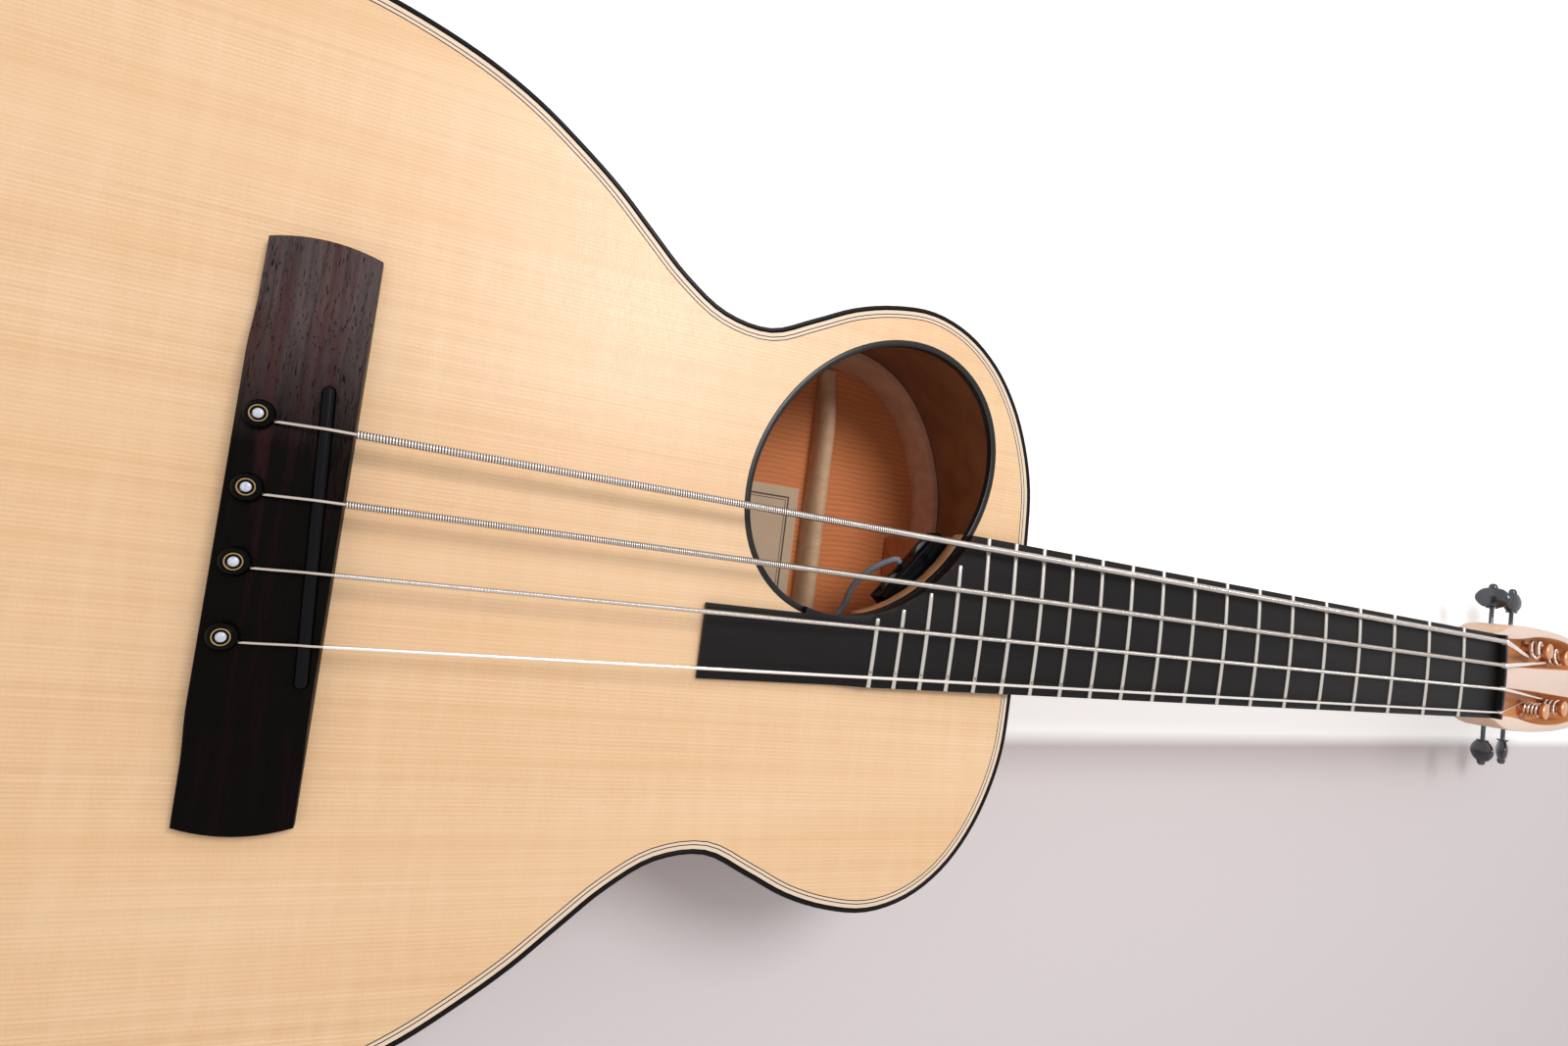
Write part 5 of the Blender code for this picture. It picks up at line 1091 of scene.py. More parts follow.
class UKULELE_OT_neck(PieceOperator):
    """Neck with its heel, the head with two recesses, the heel cap and the truss rod"""
    bl_idname = "ukulele.neck"
    bl_label = "Neck and head"

    depth_nut: FloatProperty(name="Depth at nut", description="Neck below the fretboard at the nut",
                             default=0.0145, unit="LENGTH")
    depth_heel: FloatProperty(name="Depth at heel", description="Neck below the fretboard before the heel",
                              default=0.0168, unit="LENGTH")
    volute: FloatProperty(name="Volute", description="Length of the swelling under the nut", default=0.030,
                          unit="LENGTH")
    heel: FloatProperty(name="Heel", description="Length of the heel", default=0.052, unit="LENGTH")
    heel_flat: FloatProperty(name="Heel flat", description="Full-depth part of the heel", default=0.016,
                             unit="LENGTH")
    head_thickness: FloatProperty(name="Head thickness", description="Face to back", default=0.0195,
                                  unit="LENGTH")
    trough_depth: FloatProperty(name="Recess depth", description="Recess for the strings",
                                default=RECESS_DEPTH, unit="LENGTH")

    def section(self, x, depth, limit, heel, cap):
        """One slice: a half round that squares and narrows into the heel."""
        half = board_half_width(x)
        power = 1.0 - 0.42 * heel
        ring = []
        for k in range(49):
            angle = math.pi * k / 48
            across = math.cos(angle)
            down = abs(math.sin(angle)) ** power
            narrow = 1 - (1 - cap / half) * heel * 1.05 * down ** 0.9
            y = half * math.copysign(abs(across) ** power, across) * narrow
            ring.append((x, y, TOP - min(depth * down, limit)))
        return ring

    def slices(self):
        limit, cap = TOP - NECK_LOW.z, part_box("heel_cap")[1].y
        start, nut_back = NECK_LOW.x, NUT_HIGH.x + SEAT
        end = start + self.heel
        rings = [self.section(start + self.heel_flat * k / 4, limit * 1.03, limit, 1.0, cap)
                 for k in range(5)]
        for k in range(1, 33):
            share = k / 32
            left = (1 - share) ** 2.6
            rings.append(self.section(start + self.heel_flat + (end - start - self.heel_flat) * share,
                                      self.depth_heel + (limit * 1.03 - self.depth_heel) * left, limit,
                                      left ** 0.7, cap))
        volute = sizes().scale_length - self.volute
        for k in range(1, 7):
            share = k / 6
            rings.append(self.section(end + (volute - end) * share,
                                      self.depth_heel + (self.depth_nut - self.depth_heel) * share, limit,
                                      0.0, cap))
        for k in range(1, 15):
            share = k / 14
            depth = self.depth_nut + (self.head_thickness * 1.06 - self.depth_nut) * share ** 2
            rings.append(self.section(volute + (nut_back - volute) * share, depth, limit, 0.0, cap))
        return rings

    def execute(self, context):
        neck = finished("neck_and_head", skin(self.slices()), ["neck_wood", "head_face_highlit_wood", "trough_shaded_wood"],
                        stands_for=["neck"], sharp=40)
        place = head_place()
        plate = slab(self.head_outline(), -self.head_thickness, 0.0)
        bmesh.ops.transform(plate, matrix=place, verts=plate.verts)
        cut(neck, plate, "UNION")
        for side in (1, -1):
            recess = slab(self.trough(side), -self.trough_depth, self.trough_depth)
            bmesh.ops.transform(recess, matrix=place, verts=recess.verts)
            cut(neck, recess)
        rounded(neck, 0.0006, 3, 42, weld=0.00003)
        for number in range(1, 5):
            along, across = post_spot(number)
            cut(neck, turned([(POST_BORE, -0.05), (POST_BORE, 0.0)], 40,
                             place @ Matrix.Translation((along, across, 0))))
        rod_low, rod_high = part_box("truss_rod")
        gap = Vector((SEAT, SEAT, SEAT))
        cut(neck, block(rod_low - gap, rod_high + gap + Vector((0, 0, 0.01))))
        self.dress(neck, place.inverted())
        cap = finished("heel_cap_plate", cad_copy("heel_cap"), "fretboard_wood",
                       stands_for=["heel_cap"])
        rounded(cap, 0.0005, 3)
        finished("truss_rod_bar", cad_copy("truss_rod", 0.0005), "rod_steel",
                 stands_for=["truss_rod"])
        return {"FINISHED"}

    def dress(self, neck, to_head):
        """Gives the head's face a paler copy of the wood as a painted highlight, and the recesses a darker,
        redder copy as painted shade.
        """
        for polygon in neck.data.polygons:
            spot = to_head @ Vector(polygon.center)
            up = (to_head.to_3x3() @ Vector(polygon.normal)).z
            if spot.x > 0 and spot.z > -0.0001 and up > 0.9:
                polygon.material_index = 1
            elif -0.0135 < spot.z < -0.0001 and 0.0045 < abs(spot.y) < self.reach(spot.x) and spot.x < 0.1495:
                polygon.material_index = 2

    def reach(self, along):
        return 0.0208 if along < 0.03 else 0.0255

    def head_outline(self):
        widths = ((-0.001, 0.0222), (0.010, 0.0232), (0.024, 0.0268), (0.038, 0.0285), (0.075, 0.0292),
                  (0.112, 0.0284), (0.150, 0.0256))
        points = smooth_line([Vector(pair) for pair in widths], 8)
        corner, end = 0.010, 0.168
        last = widths[-1][1] - 0.002
        for k in range(1, 13):
            angle = math.pi / 2 * k / 12
            points.append(Vector((end - 0.002 - corner + corner * math.sin(angle),
                                  last - corner + corner * math.cos(angle))))
        crest = [Vector((end - 0.002 * (1 - math.cos(math.pi / 2 * (1 - k / 8))), 0)) for k in range(1, 9)]
        for k, spot in enumerate(crest, 1):
            half = (last - corner) * (1 - k / 8)
            points.append(Vector((end - 0.002 * (half / (last - corner)) ** 2, half)))
        return points + [Vector((spot.x, -spot.y)) for spot in reversed(points[:-1])]

    def trough(self, side):
        """A recess beside the head's middle strip, open at the nut and round at its far end."""
        outer = ((-0.001, 0.0198), (0.004, 0.0198), (0.040, 0.0212), (0.075, 0.0244), (0.110, 0.0247),
                 (0.140, 0.0222))
        inner = ((0.140, 0.0085), (0.105, 0.0076), (0.060, 0.0064), (0.004, 0.0060), (-0.001, 0.0060))
        points = smooth_line([Vector(pair) for pair in outer], 6)
        middle, half = (outer[-1][1] + inner[0][1]) / 2, (outer[-1][1] - inner[0][1]) / 2
        for k in range(1, 24):
            angle = math.pi * k / 24
            points.append(Vector((0.140 + 0.008 * math.sin(angle), middle + half * math.cos(angle))))
        points += smooth_line([Vector(pair) for pair in inner], 6)
        return [Vector((spot.x, side * spot.y)) for spot in points]


def evenly(line, step):
    """Points about a step apart along a line of points."""
    lengths = [0.0]
    for start, end in zip(line, line[1:]):
        lengths.append(lengths[-1] + (end - start).length)
    count = max(1, round(lengths[-1] / step))
    found, k = [], 0
    for number in range(count + 1):
        wanted = lengths[-1] * number / count
        while k < len(line) - 2 and lengths[k + 1] < wanted:
            k += 1
        share = (wanted - lengths[k]) / max(lengths[k + 1] - lengths[k], 1e-12)
        found.append(line[k].lerp(line[k + 1], min(share, 1.0)))
    return found


def hose(line, sides, radius):
    """Tube along a line: radius gives the size of a side at a ring, both by number."""
    rings = []
    side = Vector((0, 0, 1))
    for k, spot in enumerate(line):
        ahead = (line[min(k + 1, len(line) - 1)] - line[max(k - 1, 0)]).normalized()
        side = (side - ahead * side.dot(ahead)).normalized()
        other = ahead.cross(side)
        ring = []
        for step in range(sides):
            angle = 2 * math.pi * step / sides
            size = radius(step, k)
            ring.append(spot + side * (size * math.cos(angle)) + other * (size * math.sin(angle)))
        rings.append(ring)
    return skin(rings)


class UKULELE_OT_strings(PieceOperator):
    """Four strings: ball end, bare core over the saddle, wire wrap and the turns on each post"""
    bl_idname = "ukulele.strings"
    bl_label = "Strings"

    wrap_start: FloatProperty(name="Wrap start",
                              description="Bare core ends this far past the bridge's front",
                              default=0.0010, unit="LENGTH")
    nut_spacing: FloatProperty(name="Spacing at the nut", description="From string to string",
                               default=0.0120, unit="LENGTH")
    saddle_spacing: FloatProperty(name="Spacing at the saddle", description="From string to string",
                                  default=0.0189, unit="LENGTH")
    turn_gap: FloatProperty(name="Turn gap", description="Free space between two turns on a post",
                            default=0.00062, unit="LENGTH")
    over_frets: FloatProperty(name="Over frets", description="String over the frets' crown at the nut",
                              default=0.0006, unit="LENGTH")

    # By string: wrap diameter, core diameter, turns on the post, wrap pitch, sides and rings to a turn
    BUILD = {1: (0.00115, 0.00080, 4.0, 0.0, 16), 2: (0.00155, 0.00085, 3.0, 0.00038, 7),
             3: (0.0021, 0.0009, 2.25, 0.00068, 8), 4: (0.0025, 0.00095, 1.75, 0.00078, 9)}

    def execute(self, context):
        for number in self.BUILD:
            self.make_string(number)
        return {"FINISHED"}

    def nut_spot(self, number):
        full = self.BUILD[number][0]
        y = (number - 2.5) * self.nut_spacing
        crest = FRETS_LOW.z + BOARD_THICKNESS + sizes().fret_height - crown(y)
        return Vector((sizes().scale_length, y, crest + self.over_frets + full / 2))

    def make_string(self, number):
        full, core, turns, pitch, sides = self.BUILD[number]
        pin_low, pin_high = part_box("bridge_pin_%d" % number)
        pin_x, pin_y = (pin_low.x + pin_high.x) / 2, (pin_low.y + pin_high.y) / 2
        plate_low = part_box("bridge_plate")[0].z - SEAT
        ball = 0.0016
        ball_at = Vector((pin_x + PIN_SHANK + SEAT + ball, pin_y, plate_low - ball))
        exit_way = Vector((math.cos(STRING_EXIT), math.sin(STRING_EXIT), 0))
        rise = Vector((pin_x, pin_y, 0)) + exit_way * (PIN_SHANK + SEAT + core / 2)
        saddle_y = (number - 2.5) * self.saddle_spacing
        lean = math.asin(SADDLE_ACROSS / SADDLE_LONG)
        saddle_x = SADDLE_MIDDLE - math.tan(lean) * saddle_y
        over = SADDLE_HIGH.z + SEAT + core / 2
        start = Vector((saddle_x + 0.0012, saddle_y, over))
        nut = self.nut_spot(number)
        run = nut - start
        wrap_x = BRIDGE_HIGH.x + self.wrap_start
        wrap = start + run * ((wrap_x - start.x) / run.x)
        seat_z = BRIDGE_HIGH.z
        up = Vector((0, 0, 1))
        core_line = [rise + up * plate_low, rise + up * (seat_z - 0.0012),
                     rise + exit_way * 0.0001 + up * seat_z,
                     rise + exit_way * 0.0006 + up * (seat_z + 0.0009),
                     Vector((saddle_x - 0.0012, saddle_y, over - 0.0001)), Vector((saddle_x, saddle_y, over)),
                     start, wrap + run.normalized() * 0.002]
        body = hose(evenly(smooth_line(core_line, 10), 0.0004), 12, lambda side, ring: core / 2)
        bead = turned([(0.0008, -ball), (ball * 0.92, -ball * 0.7), (ball, 0), (ball * 0.92, ball * 0.7),
                       (0.0008, ball)],
                      24, Matrix.Translation(ball_at) @ Matrix.Rotation(math.pi / 2, 4, "Y"))
        finished("string_%d_core" % number, merged(body, bead), "core_steel", sharp=60)
        line = [wrap, nut, nut + Vector((0.0020, 0, -0.0002))] + self.winding(number)
        fine = evenly(line[:2], 0.001)[:-1] + smooth_line(line[1:], 4)
        if pitch:
            wire = min(full - core, pitch) / 2

            def radius(side, ring):
                away = ((ring - side) % sides) * 2 / sides - 1
                return full / 2 - wire * (1 - math.sqrt(1 - away * away))

            made = hose(evenly(fine, pitch / sides), sides, radius)
            # Faces down in the grooves between the wire's turns get a dark steel: painted shade in the
            # grooves
            way, crest = (nut - wrap).normalized(), (full / 2 - wire * 0.15) * math.cos(math.pi / sides)
            for face in made.faces:
                spot = face.calc_center_median() - wrap
                if spot.x < nut.x - wrap.x and spot.cross(way).length < crest:
                    face.material_index = 1
        else:
            made = hose(evenly(fine, 0.0012), sides, lambda side, ring: full / 2)
        finished("string_%d_wrap" % number, made, ["string_steel", "groove_shade_steel"],
                 stands_for=["string_%d" % number], sharp=60)

    def winding(self, number):
        """The run to the post and the turns up it, as one helix."""
        full, _, turns, _, _ = self.BUILD[number]
        along, across = post_spot(number)
        side = math.copysign(1, across)
        reach = POST_RADIUS + SEAT + full / 2
        rise = full + self.turn_gap
        base = -RECESS_DEPTH + SEAT + 0.0008 + SEAT + full / 2
        place = head_place()
        found = [place @ Vector((along - full, across - side * reach, base))]
        steps = round(40 * turns)
        for k in range(steps + 1):
            angle = -side * math.pi / 2 + side * 2 * math.pi * turns * k / steps
            found.append(place @ Vector((along + reach * math.cos(angle), across + reach * math.sin(angle),
                                         base + rise * turns * k / steps)))
        found.append(found[-1] + (found[-1] - found[-2]).normalized() * full)
        return found


class UKULELE_OT_tuners(PieceOperator):
    """Open-geared tuning machines: plates, worm shafts, wheels, posts and oval keys"""
    bl_idname = "ukulele.tuners"
    bl_label = "Tuning machines"

    pitch: FloatProperty(name="Worm pitch", description="Advance of the worm in one turn", default=0.0024,
                         unit="LENGTH")
    button_tall: FloatProperty(name="Key height", description="Long way across a key", default=0.0176,
                               unit="LENGTH")
    button_thick: FloatProperty(name="Key thickness", description="Short way across a key", default=0.0056,
                                unit="LENGTH")

    def key_place(self, number):
        """Z runs outwards along the key's shaft."""
        along, across = post_spot(number)
        spot = head_place().inverted() @ joint_place("key_turn_%d" % number)
        rows = ((0, 1, 0), (0, 0, 1), (1, 0, 0)) if across > 0 else ((1, 0, 0), (0, 0, -1), (0, 1, 0))
        return head_place() @ Matrix.Translation(spot) @ Matrix(rows).to_4x4()

    def execute(self, context):
        for number in range(1, 5):
            self.make_plate(number)
            self.make_shaft(number)
            self.make_wheel(number)
            self.make_post(number)
            self.make_button(number)
        return {"FINISHED"}

    def make_plate(self, number):
        place = head_place()
        inside = place.inverted()
        along, across = post_spot(number)
        worm = inside @ joint_place("key_turn_%d" % number)
        lug, far = 0.0031, LUG_INSIDE + LUG_THICKNESS
        low = worm.z + WORM_DROP
        x0, x1, y0, y1 = worm.x - lug, along + 0.0060, across - far, across + far
        corner = 0.0012
        outline = []
        for cx, cy, first in ((x1 - corner, y1 - corner, 0), (x0 + corner, y1 - corner, 1),
                              (x0 + corner, y0 + corner, 2), (x1 - corner, y0 + corner, 3)):
            for k in range(7):
                angle = math.pi / 2 * (first + k / 6)
                outline.append((cx + corner * math.cos(angle), cy + corner * math.sin(angle)))
        plate = finished("machine_plate_%d" % number, slab(outline, low, low + 0.0015, 0.0, 0.0003),
                         "satin_black", stands_for=["tuner_plate_%d" % number])
        cut(plate, turned([(POST_BORE, low - 0.01), (POST_BORE, low + 0.01)], 40,
                          Matrix.Translation((along, across, 0))))
        for end in (-1, 1):
            near, out = across + end * LUG_INSIDE, across + end * far
            lugs = block((worm.x - lug, min(near, out), worm.z - lug),
                         (worm.x + lug, max(near, out), low + 0.0007))
            top = [edge for edge in lugs.edges if abs(edge.verts[0].co.z - edge.verts[1].co.z) < 1e-9
                   and edge.verts[0].co.z < worm.z and abs(edge.verts[0].co.x - edge.verts[1].co.x) < 1e-9]
            soften(lugs, top, 0.0028, 6)
            cut(plate, lugs, "UNION")
        bore = turned([(0.0019, -0.02), (0.0019, 0.02)], 32,
                      Matrix.Translation(worm) @ Matrix.Rotation(math.pi / 2, 4, "X"))
        cut(plate, bore)
        plate.data.transform(place)
        screws = []
        for end in (-1, 1):
            head = turned([(0.0, 0.0), (0.0013, 0.0), (0.00125, -0.0003), (0.0009, -0.0006), (0.0, -0.00075)],
                          24)
            bmesh.ops.translate(head, verts=head.verts, vec=(along + 0.0044, across + end * 0.0054, low))
            bmesh.ops.transform(head, matrix=place, verts=head.verts)
            screws.append(head)
        finished("machine_screws_%d" % number, merged(*screws), "key_black")

    def make_shaft(self, number):
        """Worm with a rounded thread between the lugs and a plain stem to the key."""
        along, across = post_spot(number)
        stem = 0.0394 - abs(across) + 0.00585
        root, rise, long = 0.0017, 0.0013, 0.0090
        mesh_at = math.pi / 2 if across > 0 else 0.0
        steps, sides = 120, 24
        rings = []

        def ring(height, size):
            return [(size(2 * math.pi * k / sides) * math.cos(2 * math.pi * k / sides),
                     size(2 * math.pi * k / sides) * math.sin(2 * math.pi * k / sides),
                     height) for k in range(sides)]

        def thread(height, angle):
            away = abs((height / self.pitch - (angle - mesh_at) / (2 * math.pi) + 0.5) % 1.0 - 0.5)
            return 1.0 if away < 0.09 else max(0.0, 1.0 - (away - 0.09) / 0.13)

        for height, size in ((-0.0084, 0.0013), (-0.0081, 0.0016), (-0.0047, 0.0016)):
            rings.append(ring(height, lambda angle, size=size: size))
        for k in range(steps + 1):
            height = long * (k / steps - 0.5)
            fade = min(1.0, min(k, steps - k) / 12)
            rings.append(ring(height, lambda angle: root + fade * rise * thread(height, angle)))
        for height, size in ((0.0047, 0.0016), (0.0079, 0.0016), (0.0083, 0.00115), (stem - 0.0012, 0.00115),
                             (stem - 0.0007, 0.0016), (stem, 0.0016)):
            rings.append(ring(height, lambda angle, size=size: size))
        made = skin(rings)
        bmesh.ops.transform(made, matrix=self.key_place(number), verts=made.verts)
        finished("worm_shaft_%d" % number, made, "key_black", body="key_%d" % number,
                 stands_for=["tuner_shaft_%d" % number], sharp=50)

    def make_wheel(self, number):
        finished("worm_wheel_%d" % number, cad_copy("tuner_gear_%d" % number, 0.00014, 3), "gear_brass",
                 body="post_%d" % number, stands_for=["tuner_gear_%d" % number])

    def make_post(self, number):
        along, across = post_spot(number)
        worm_z = (head_place().inverted() @ joint_place("post_turn_%d" % number)).z
        cap, high = 0.0047, 0.0004
        profile = [(0.0, worm_z - 0.0035), (0.0022, worm_z - 0.0035), (0.0028, worm_z - 0.0031),
                   (0.0028, worm_z - 0.0021), (0.0021, worm_z - 0.0021), (0.0021, worm_z + 0.0021),
                   (POST_RADIUS, worm_z + 0.0021), (POST_RADIUS, -0.0127), (0.0045, -0.0127),
                   (0.0045, -0.0119), (POST_RADIUS, -0.0119), (0.00285, -0.0110), (0.00285, -0.0034),
                   (POST_RADIUS, -0.0030), (cap * 0.86, -0.0030), (cap * 0.97, -0.0027), (cap, -0.0022),
                   (cap, -0.0010), (cap * 0.96, -0.0005), (cap * 0.86, -0.0001), (cap * 0.60, high - 0.0002),
                   (cap * 0.3, high), (0.0, high)]
        place = head_place() @ Matrix.Translation((along, across, 0))
        finished("string_post_%d" % number, turned(profile, 48, place), "copper", body="post_%d" % number,
                 stands_for=["tuner_post_%d" % number], sharp=40)

    def make_button(self, number):
        """Oval key: its turn at rest is read from the solid's own long way across."""
        place = self.key_place(number)
        inside = place.inverted()
        spots = [inside @ vertex.co for vertex in frame["nodes"]["tuner_button_%d" % number].data.vertices]
        widest = max(spots, key=lambda spot: spot.x ** 2 + spot.y ** 2)
        turn = math.atan2(widest.y, widest.x)
        start = min(spot.z for spot in spots)
        long = (max(spot.z for spot in spots) - start) / (1 + 0.0022 / 0.0130)
        rows = [(0.0, 0.0026, 0.0026), (0.01, 0.0030, 0.0030), (0.05, 0.0030, 0.0030)]
        for k in range(1, 32):
            share = k / 32
            bulge = math.sin(math.pi * (0.10 + 0.80 * share)) ** 0.62
            rows.append((0.06 + 0.90 * share, self.button_tall / 2 * bulge,
                         self.button_thick / 2 * bulge ** 0.7))
        for k in range(9):
            angle = math.pi / 2 * k / 8
            rows.append((0.97 + 0.199 * math.sin(angle), 0.0022 * math.cos(angle) ** 0.7 + 0.0001,
                         0.0020 * math.cos(angle) ** 0.7 + 0.0001))
        rings = []
        for share, tall, thick in rows:
            rings.append([(tall * math.cos(2 * math.pi * k / 40), thick * math.sin(2 * math.pi * k / 40),
                           start + long * share) for k in range(40)])
        made = skin(rings)
        bmesh.ops.rotate(made, verts=made.verts, matrix=Matrix.Rotation(turn, 3, "Z"))
        bmesh.ops.transform(made, matrix=place, verts=made.verts)
        finished("key_button_%d" % number, made, "key_black", body="key_%d" % number,
                 stands_for=["tuner_button_%d" % number], sharp=60)


class UKULELE_OT_electrics(PieceOperator):
    """Control unit under the soundhole's edge, its two thumbwheels, the cable and the end jack"""
    bl_idname = "ukulele.electrics"
    bl_label = "Control unit, cable and jack"

    unit_turn: FloatProperty(name="Unit turn", description="Control unit's long side from the strings",
                             default=math.radians(51), unit="ROTATION")
    cable: FloatProperty(name="Cable", description="Cable diameter", default=0.0023, unit="LENGTH")

    def execute(self, context):
        finished("unit_housing", cad_copy("control_unit", 0.0005, 3), "gloss_black",
                 stands_for=["control_unit"])
        for number in (1, 2):
            self.make_wheel(number)
        self.make_cable()
        self.make_jack()
        return {"FINISHED"}

    def make_wheel(self, number):
        """Thumbwheel with a knurled rim."""
        low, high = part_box("thumbwheel_%d" % number)
        rim, half = (high.x - low.x) / 2, 0.0012
        rings = []
        for size, height, knurl in ((0.0010, -0.0024, 0), (0.0010, -half, 0), (rim - 0.0008, -half, 0),
                                    (rim - 0.0003, -half + 0.0002, 0.4), (rim, -half + 0.0005, 1),
                                    (rim, half - 0.0005, 1), (rim - 0.0003, half - 0.0002, 0.4),
                                    (rim - 0.0008, half, 0), (0.0010, half, 0), (0.0010, 0.0024, 0)):
            ring = []
            for k in range(144):
                angle = 2 * math.pi * k / 144
                reach = size - 0.00028 * knurl * (k % 4 in (0, 1))
                ring.append((reach * math.cos(angle), reach * math.sin(angle), height))
            rings.append(ring)
        made = skin(rings)
        bmesh.ops.translate(made, verts=made.verts, vec=(low + high) / 2)
        finished("unit_wheel_%d" % number, made, "satin_black", body="wheel_%d" % number,
                 stands_for=["thumbwheel_%d" % number])

    def make_cable(self):
        """Cable from the unit's front down to the back, over the braces and up to the end jack."""
        first, second = joint_place("thumbwheel_turn_1"), joint_place("thumbwheel_turn_2")
        ahead = Vector((-math.sin(self.unit_turn), math.cos(self.unit_turn), 0))
        start = (first + second) / 2 + ahead * (0.0060 - 0.0018 + SEAT)
        start.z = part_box("control_unit")[0].z + self.cable / 2
        braces = [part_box("back_brace_%d" % number) for number in (2, 3)]
        ride = braces[0][1].z + SEAT + self.cable / 2
        front, rear = (Vector(((low.x + high.x) / 2, -0.030, ride)) for low, high in braces)
        fall = front - start
        drop = [start + Vector((fall.x * along, fall.y * across, fall.z * down)) for along, across, down in
                ((0.068, 0.087, 0.15), (0.092, 0.242, 0.32), (0.094, 0.454, 0.49), (0.144, 0.672, 0.66),
                 (0.287, 0.878, 0.83))]
        jack_low, jack_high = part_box("end_jack")
        end = Vector((jack_high.x + SEAT, 0, (jack_low.z + jack_high.z) / 2))
        rise = rear.lerp(end, 0.5) + Vector((0, 0, 0.2 * (ride - end.z)))
        route = [start, start + ahead * (self.cable - SEAT), *drop, front, front.lerp(rear, 0.46), rear, rise,
                 end + Vector((3 * self.cable, 0, 0)), end]
        made = hose(evenly(smooth_line(route, 24), 0.0015), 20, lambda side, ring: self.cable / 2)
        finished("unit_cable", made, "cable_rubber", stands_for=["pickup_cable"],
                 sharp=60)

    def make_jack(self):
        """Barrel inside the tail block, strap button outside, and the socket through it."""
        low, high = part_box("end_jack")
        outwards = Matrix.Rotation(-math.pi / 2, 4, "Y")
        place = Matrix.Translation((SIDE_LOW.x, 0, (low.z + high.z) / 2)) @ outwards
        inside = sizes().side_thickness + SEAT
        end, out, button = -(inside + 0.0300), SIDE_LOW.x - low.x, 0.0075
        profile = [(0.0, end), (0.0036, end), (0.0042, end + 0.0002), (0.0058, end + 0.0010),
                   (0.0060, end + 0.0014), (0.0060, -inside), (0.0045, -inside), (0.0045, SEAT),
                   (button * 0.96, SEAT), (button, SEAT + 0.0004), (button, SEAT + 0.0013),
                   (button * 0.9, SEAT + 0.0022)]
        for k in range(13):
            share = k / 12
            neck = 0.72 + 0.20 * (2 * share - 1) ** 2 if share < 0.5 else 0.72 + 0.23 * (2 * share - 1) ** 2
            profile.append((button * neck, SEAT + 0.0028 + (out - SEAT - 0.0042) * share))
        profile += [(button * 0.94, out - 0.0006), (button * 0.9, out), (0.0036, out), (0.0032, out - 0.0004),
                    (0.0032, -0.0150), (0.0, -0.0150)]
        finished("jack_barrel", turned(profile, 56, place), "satin_black",
                 stands_for=["end_jack"])


# Stage


def seen_rays(tree):
    """1 for rays that show the surroundings: camera, glossy and transmission rays."""
    rays = add_node(tree, "LightPath").outputs
    seen = maths(tree, "MAXIMUM", rays["Is Camera Ray"], rays["Is Glossy Ray"])
    return maths(tree, "MAXIMUM", seen, rays["Is Transmission Ray"])


def camera_turn():
    """Columns are the camera's right, up and backward directions in the photograph."""
    right, up, back = (Vector((0.9133, 0.1246, 0.3877)), Vector((-0.1394, 0.9902, 0.0103)),
                       Vector((-0.3826, -0.0634, 0.9217)))
    return Matrix((right, up, back)).transposed().to_quaternion()


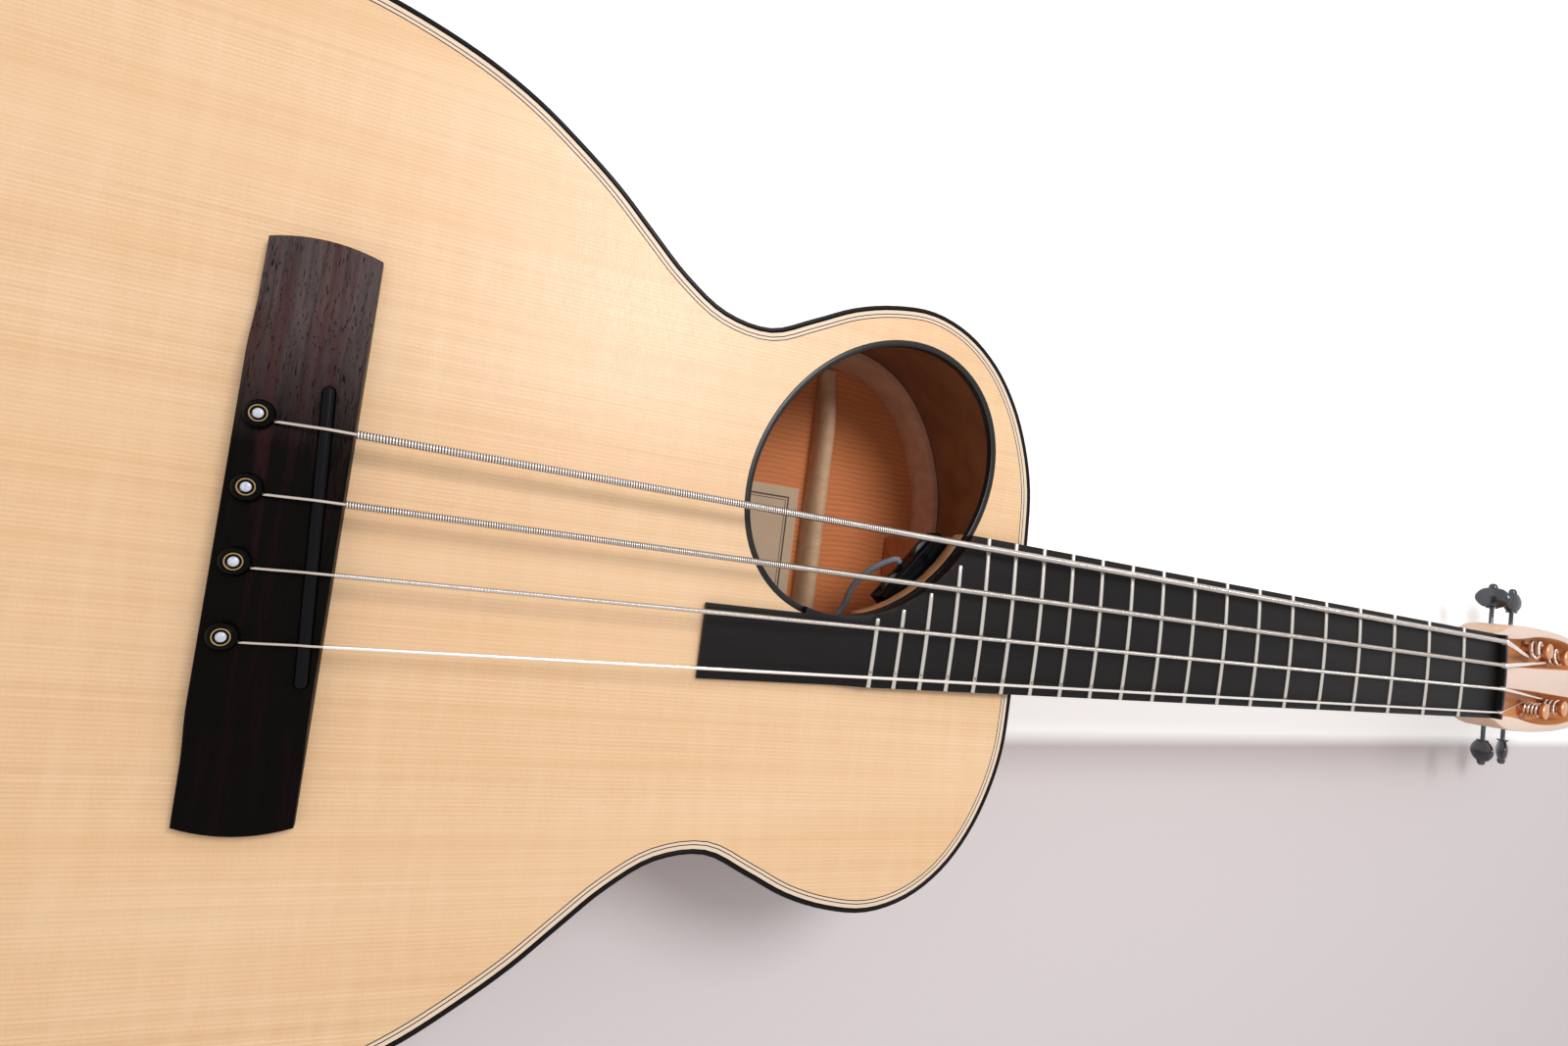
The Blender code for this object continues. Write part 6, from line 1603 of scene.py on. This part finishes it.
class UKULELE_OT_stage(bpy.types.Operator):
    """Pale table, white surroundings, soft lamps and the camera at the photograph's place"""
    bl_idname = "ukulele.stage"
    bl_label = "Stage"

    lens: FloatProperty(name="Lens", description="Focal length in millimetres on a 36 mm frame",
                        default=19.351)
    eye: FloatVectorProperty(name="Eye", description="Place of the camera", subtype="XYZ", unit="LENGTH",
                             default=(0.0211, 0.0049, 0.3371))

    def execute(self, context):
        scene = context.scene
        scene.view_settings.view_transform = "Standard"
        data = bpy.data.cameras.new("photo_camera")
        data.lens, data.sensor_width = self.lens, 36.0
        data.clip_start, data.clip_end = 0.01, 50.0
        camera = bpy.data.objects.new("photo_camera", data)
        camera.rotation_mode = "QUATERNION"
        camera.location, camera.rotation_quaternion = self.eye, camera_turn()
        scene.collection.objects.link(camera)
        scene.camera = camera
        self.make_floor()
        self.make_world(scene)
        self.add_lamp("key_lamp", (0.27, 0.40, 0.97), 0.38, 5.4)
        self.add_lamp("fill_lamp", (0.5, 0.9, 1.3), 1.6, 2.2)
        return {"FINISHED"}

    def make_floor(self):
        bm = bmesh.new()
        bmesh.ops.create_grid(bm, x_segments=8, y_segments=8, size=6.0)
        bmesh.ops.translate(bm, verts=bm.verts, vec=(0, 0, -0.0004))
        mesh = bpy.data.meshes.new("table_top")
        bm.to_mesh(mesh)
        bm.free()
        mesh.materials.append(self.table_finish())
        floor = bpy.data.objects.new("table_top", mesh)
        bpy.context.scene.collection.objects.link(floor)

    def table_finish(self):
        """Pale matt table that turns white beyond its far edge and keeps the shadows there too."""
        made, tree, shader = new_finish("table_top", colours().table, 0.55)
        grain = noise(tree, (3, 3, 3), 4.0, 0.7)
        tone = mix(tree, spread(tree, grain, 0.3, 0.7, 0.0, 0.25), colours().table,
                   darker(colours().table, 0.93))
        place = add_node(tree, "TexCoord")
        parts = add_node(tree, "SeparateXYZ", {"Vector": place.outputs["Object"]})
        lean = maths(tree, "MULTIPLY_ADD", parts.outputs["X"], TABLE_EDGE_LEAN, parts.outputs["Y"])
        beyond = spread(tree, lean, TABLE_EDGE - 0.004, TABLE_EDGE + 0.004)
        tree.links.new(tone, shader.inputs["Base Color"])
        white = add_node(tree, "BsdfDiffuse", {"Color": (0.9, 0.9, 0.9, 1)})
        lift = add_node(tree, "Emission", {"Color": (1, 1, 1, 1), "Strength": 0.42})
        glow = add_node(tree, "AddShader", {0: white.outputs[0], 1: lift.outputs[0]})
        share = maths(tree, "MULTIPLY", beyond, seen_rays(tree))
        both = add_node(tree, "MixShader", {0: share, 1: shader.outputs[0], 2: glow.outputs[0]})
        tree.links.new(both.outputs[0], tree.nodes["Material Output"].inputs["Surface"])
        return made

    def make_world(self, scene):
        world = bpy.data.worlds.new("white_surroundings")
        world.use_nodes = True
        tree = world.node_tree
        tree.nodes.clear()
        strength = spread(tree, seen_rays(tree), 0.0, 1.0, 0.55, 1.0)
        sky = add_node(tree, "Background", {"Color": (1, 1, 1, 1), "Strength": strength})
        add_node(tree, "OutputWorld", {"Surface": sky.outputs[0]})
        scene.world = world

    def add_lamp(self, name, place, size, power):
        data = bpy.data.lights.new(name, "AREA")
        data.shape, data.size, data.energy = "DISK", size, power
        lamp = bpy.data.objects.new(name, data)
        lamp.location = place
        aim = Vector((0.15, 0.0, 0.05)) - Vector(place)
        lamp.rotation_mode = "QUATERNION"
        lamp.rotation_quaternion = aim.to_track_quat("-Z", "Y")
        bpy.context.scene.collection.objects.link(lamp)


STEPS = (UKULELE_OT_stage, UKULELE_OT_plates, UKULELE_OT_sides, UKULELE_OT_inside, UKULELE_OT_rim,
         UKULELE_OT_bridge, UKULELE_OT_fretboard, UKULELE_OT_neck, UKULELE_OT_strings, UKULELE_OT_tuners,
         UKULELE_OT_electrics)


class UKULELE_PT_pieces(bpy.types.Panel):
    """Lists the steps that build the instrument"""
    bl_idname = "UKULELE_PT_pieces"
    bl_label = "Bass ukulele"
    bl_space_type = "VIEW_3D"
    bl_region_type = "UI"
    bl_category = "Ukulele"

    def draw(self, context):
        for step in STEPS:
            self.layout.operator(step.bl_idname)
        for group in (context.scene.ukulele_sizes, context.scene.ukulele_colours):
            box = self.layout.box()
            for key in group.__annotations__:
                box.prop(group, key)


CLASSES = (UkuleleSizes, UkuleleColours, *STEPS, UKULELE_PT_pieces)


def register():
    for entry in CLASSES:
        bpy.utils.register_class(entry)
    bpy.types.Scene.ukulele_sizes = PointerProperty(type=UkuleleSizes)
    bpy.types.Scene.ukulele_colours = PointerProperty(type=UkuleleColours)


def unregister():
    del bpy.types.Scene.ukulele_colours
    del bpy.types.Scene.ukulele_sizes
    for entry in reversed(CLASSES):
        bpy.utils.unregister_class(entry)


def main():
    register()
    for step in STEPS:
        group, name = step.bl_idname.split(".")
        getattr(getattr(bpy.ops, group), name)()


if __name__ == "__main__":
    main()
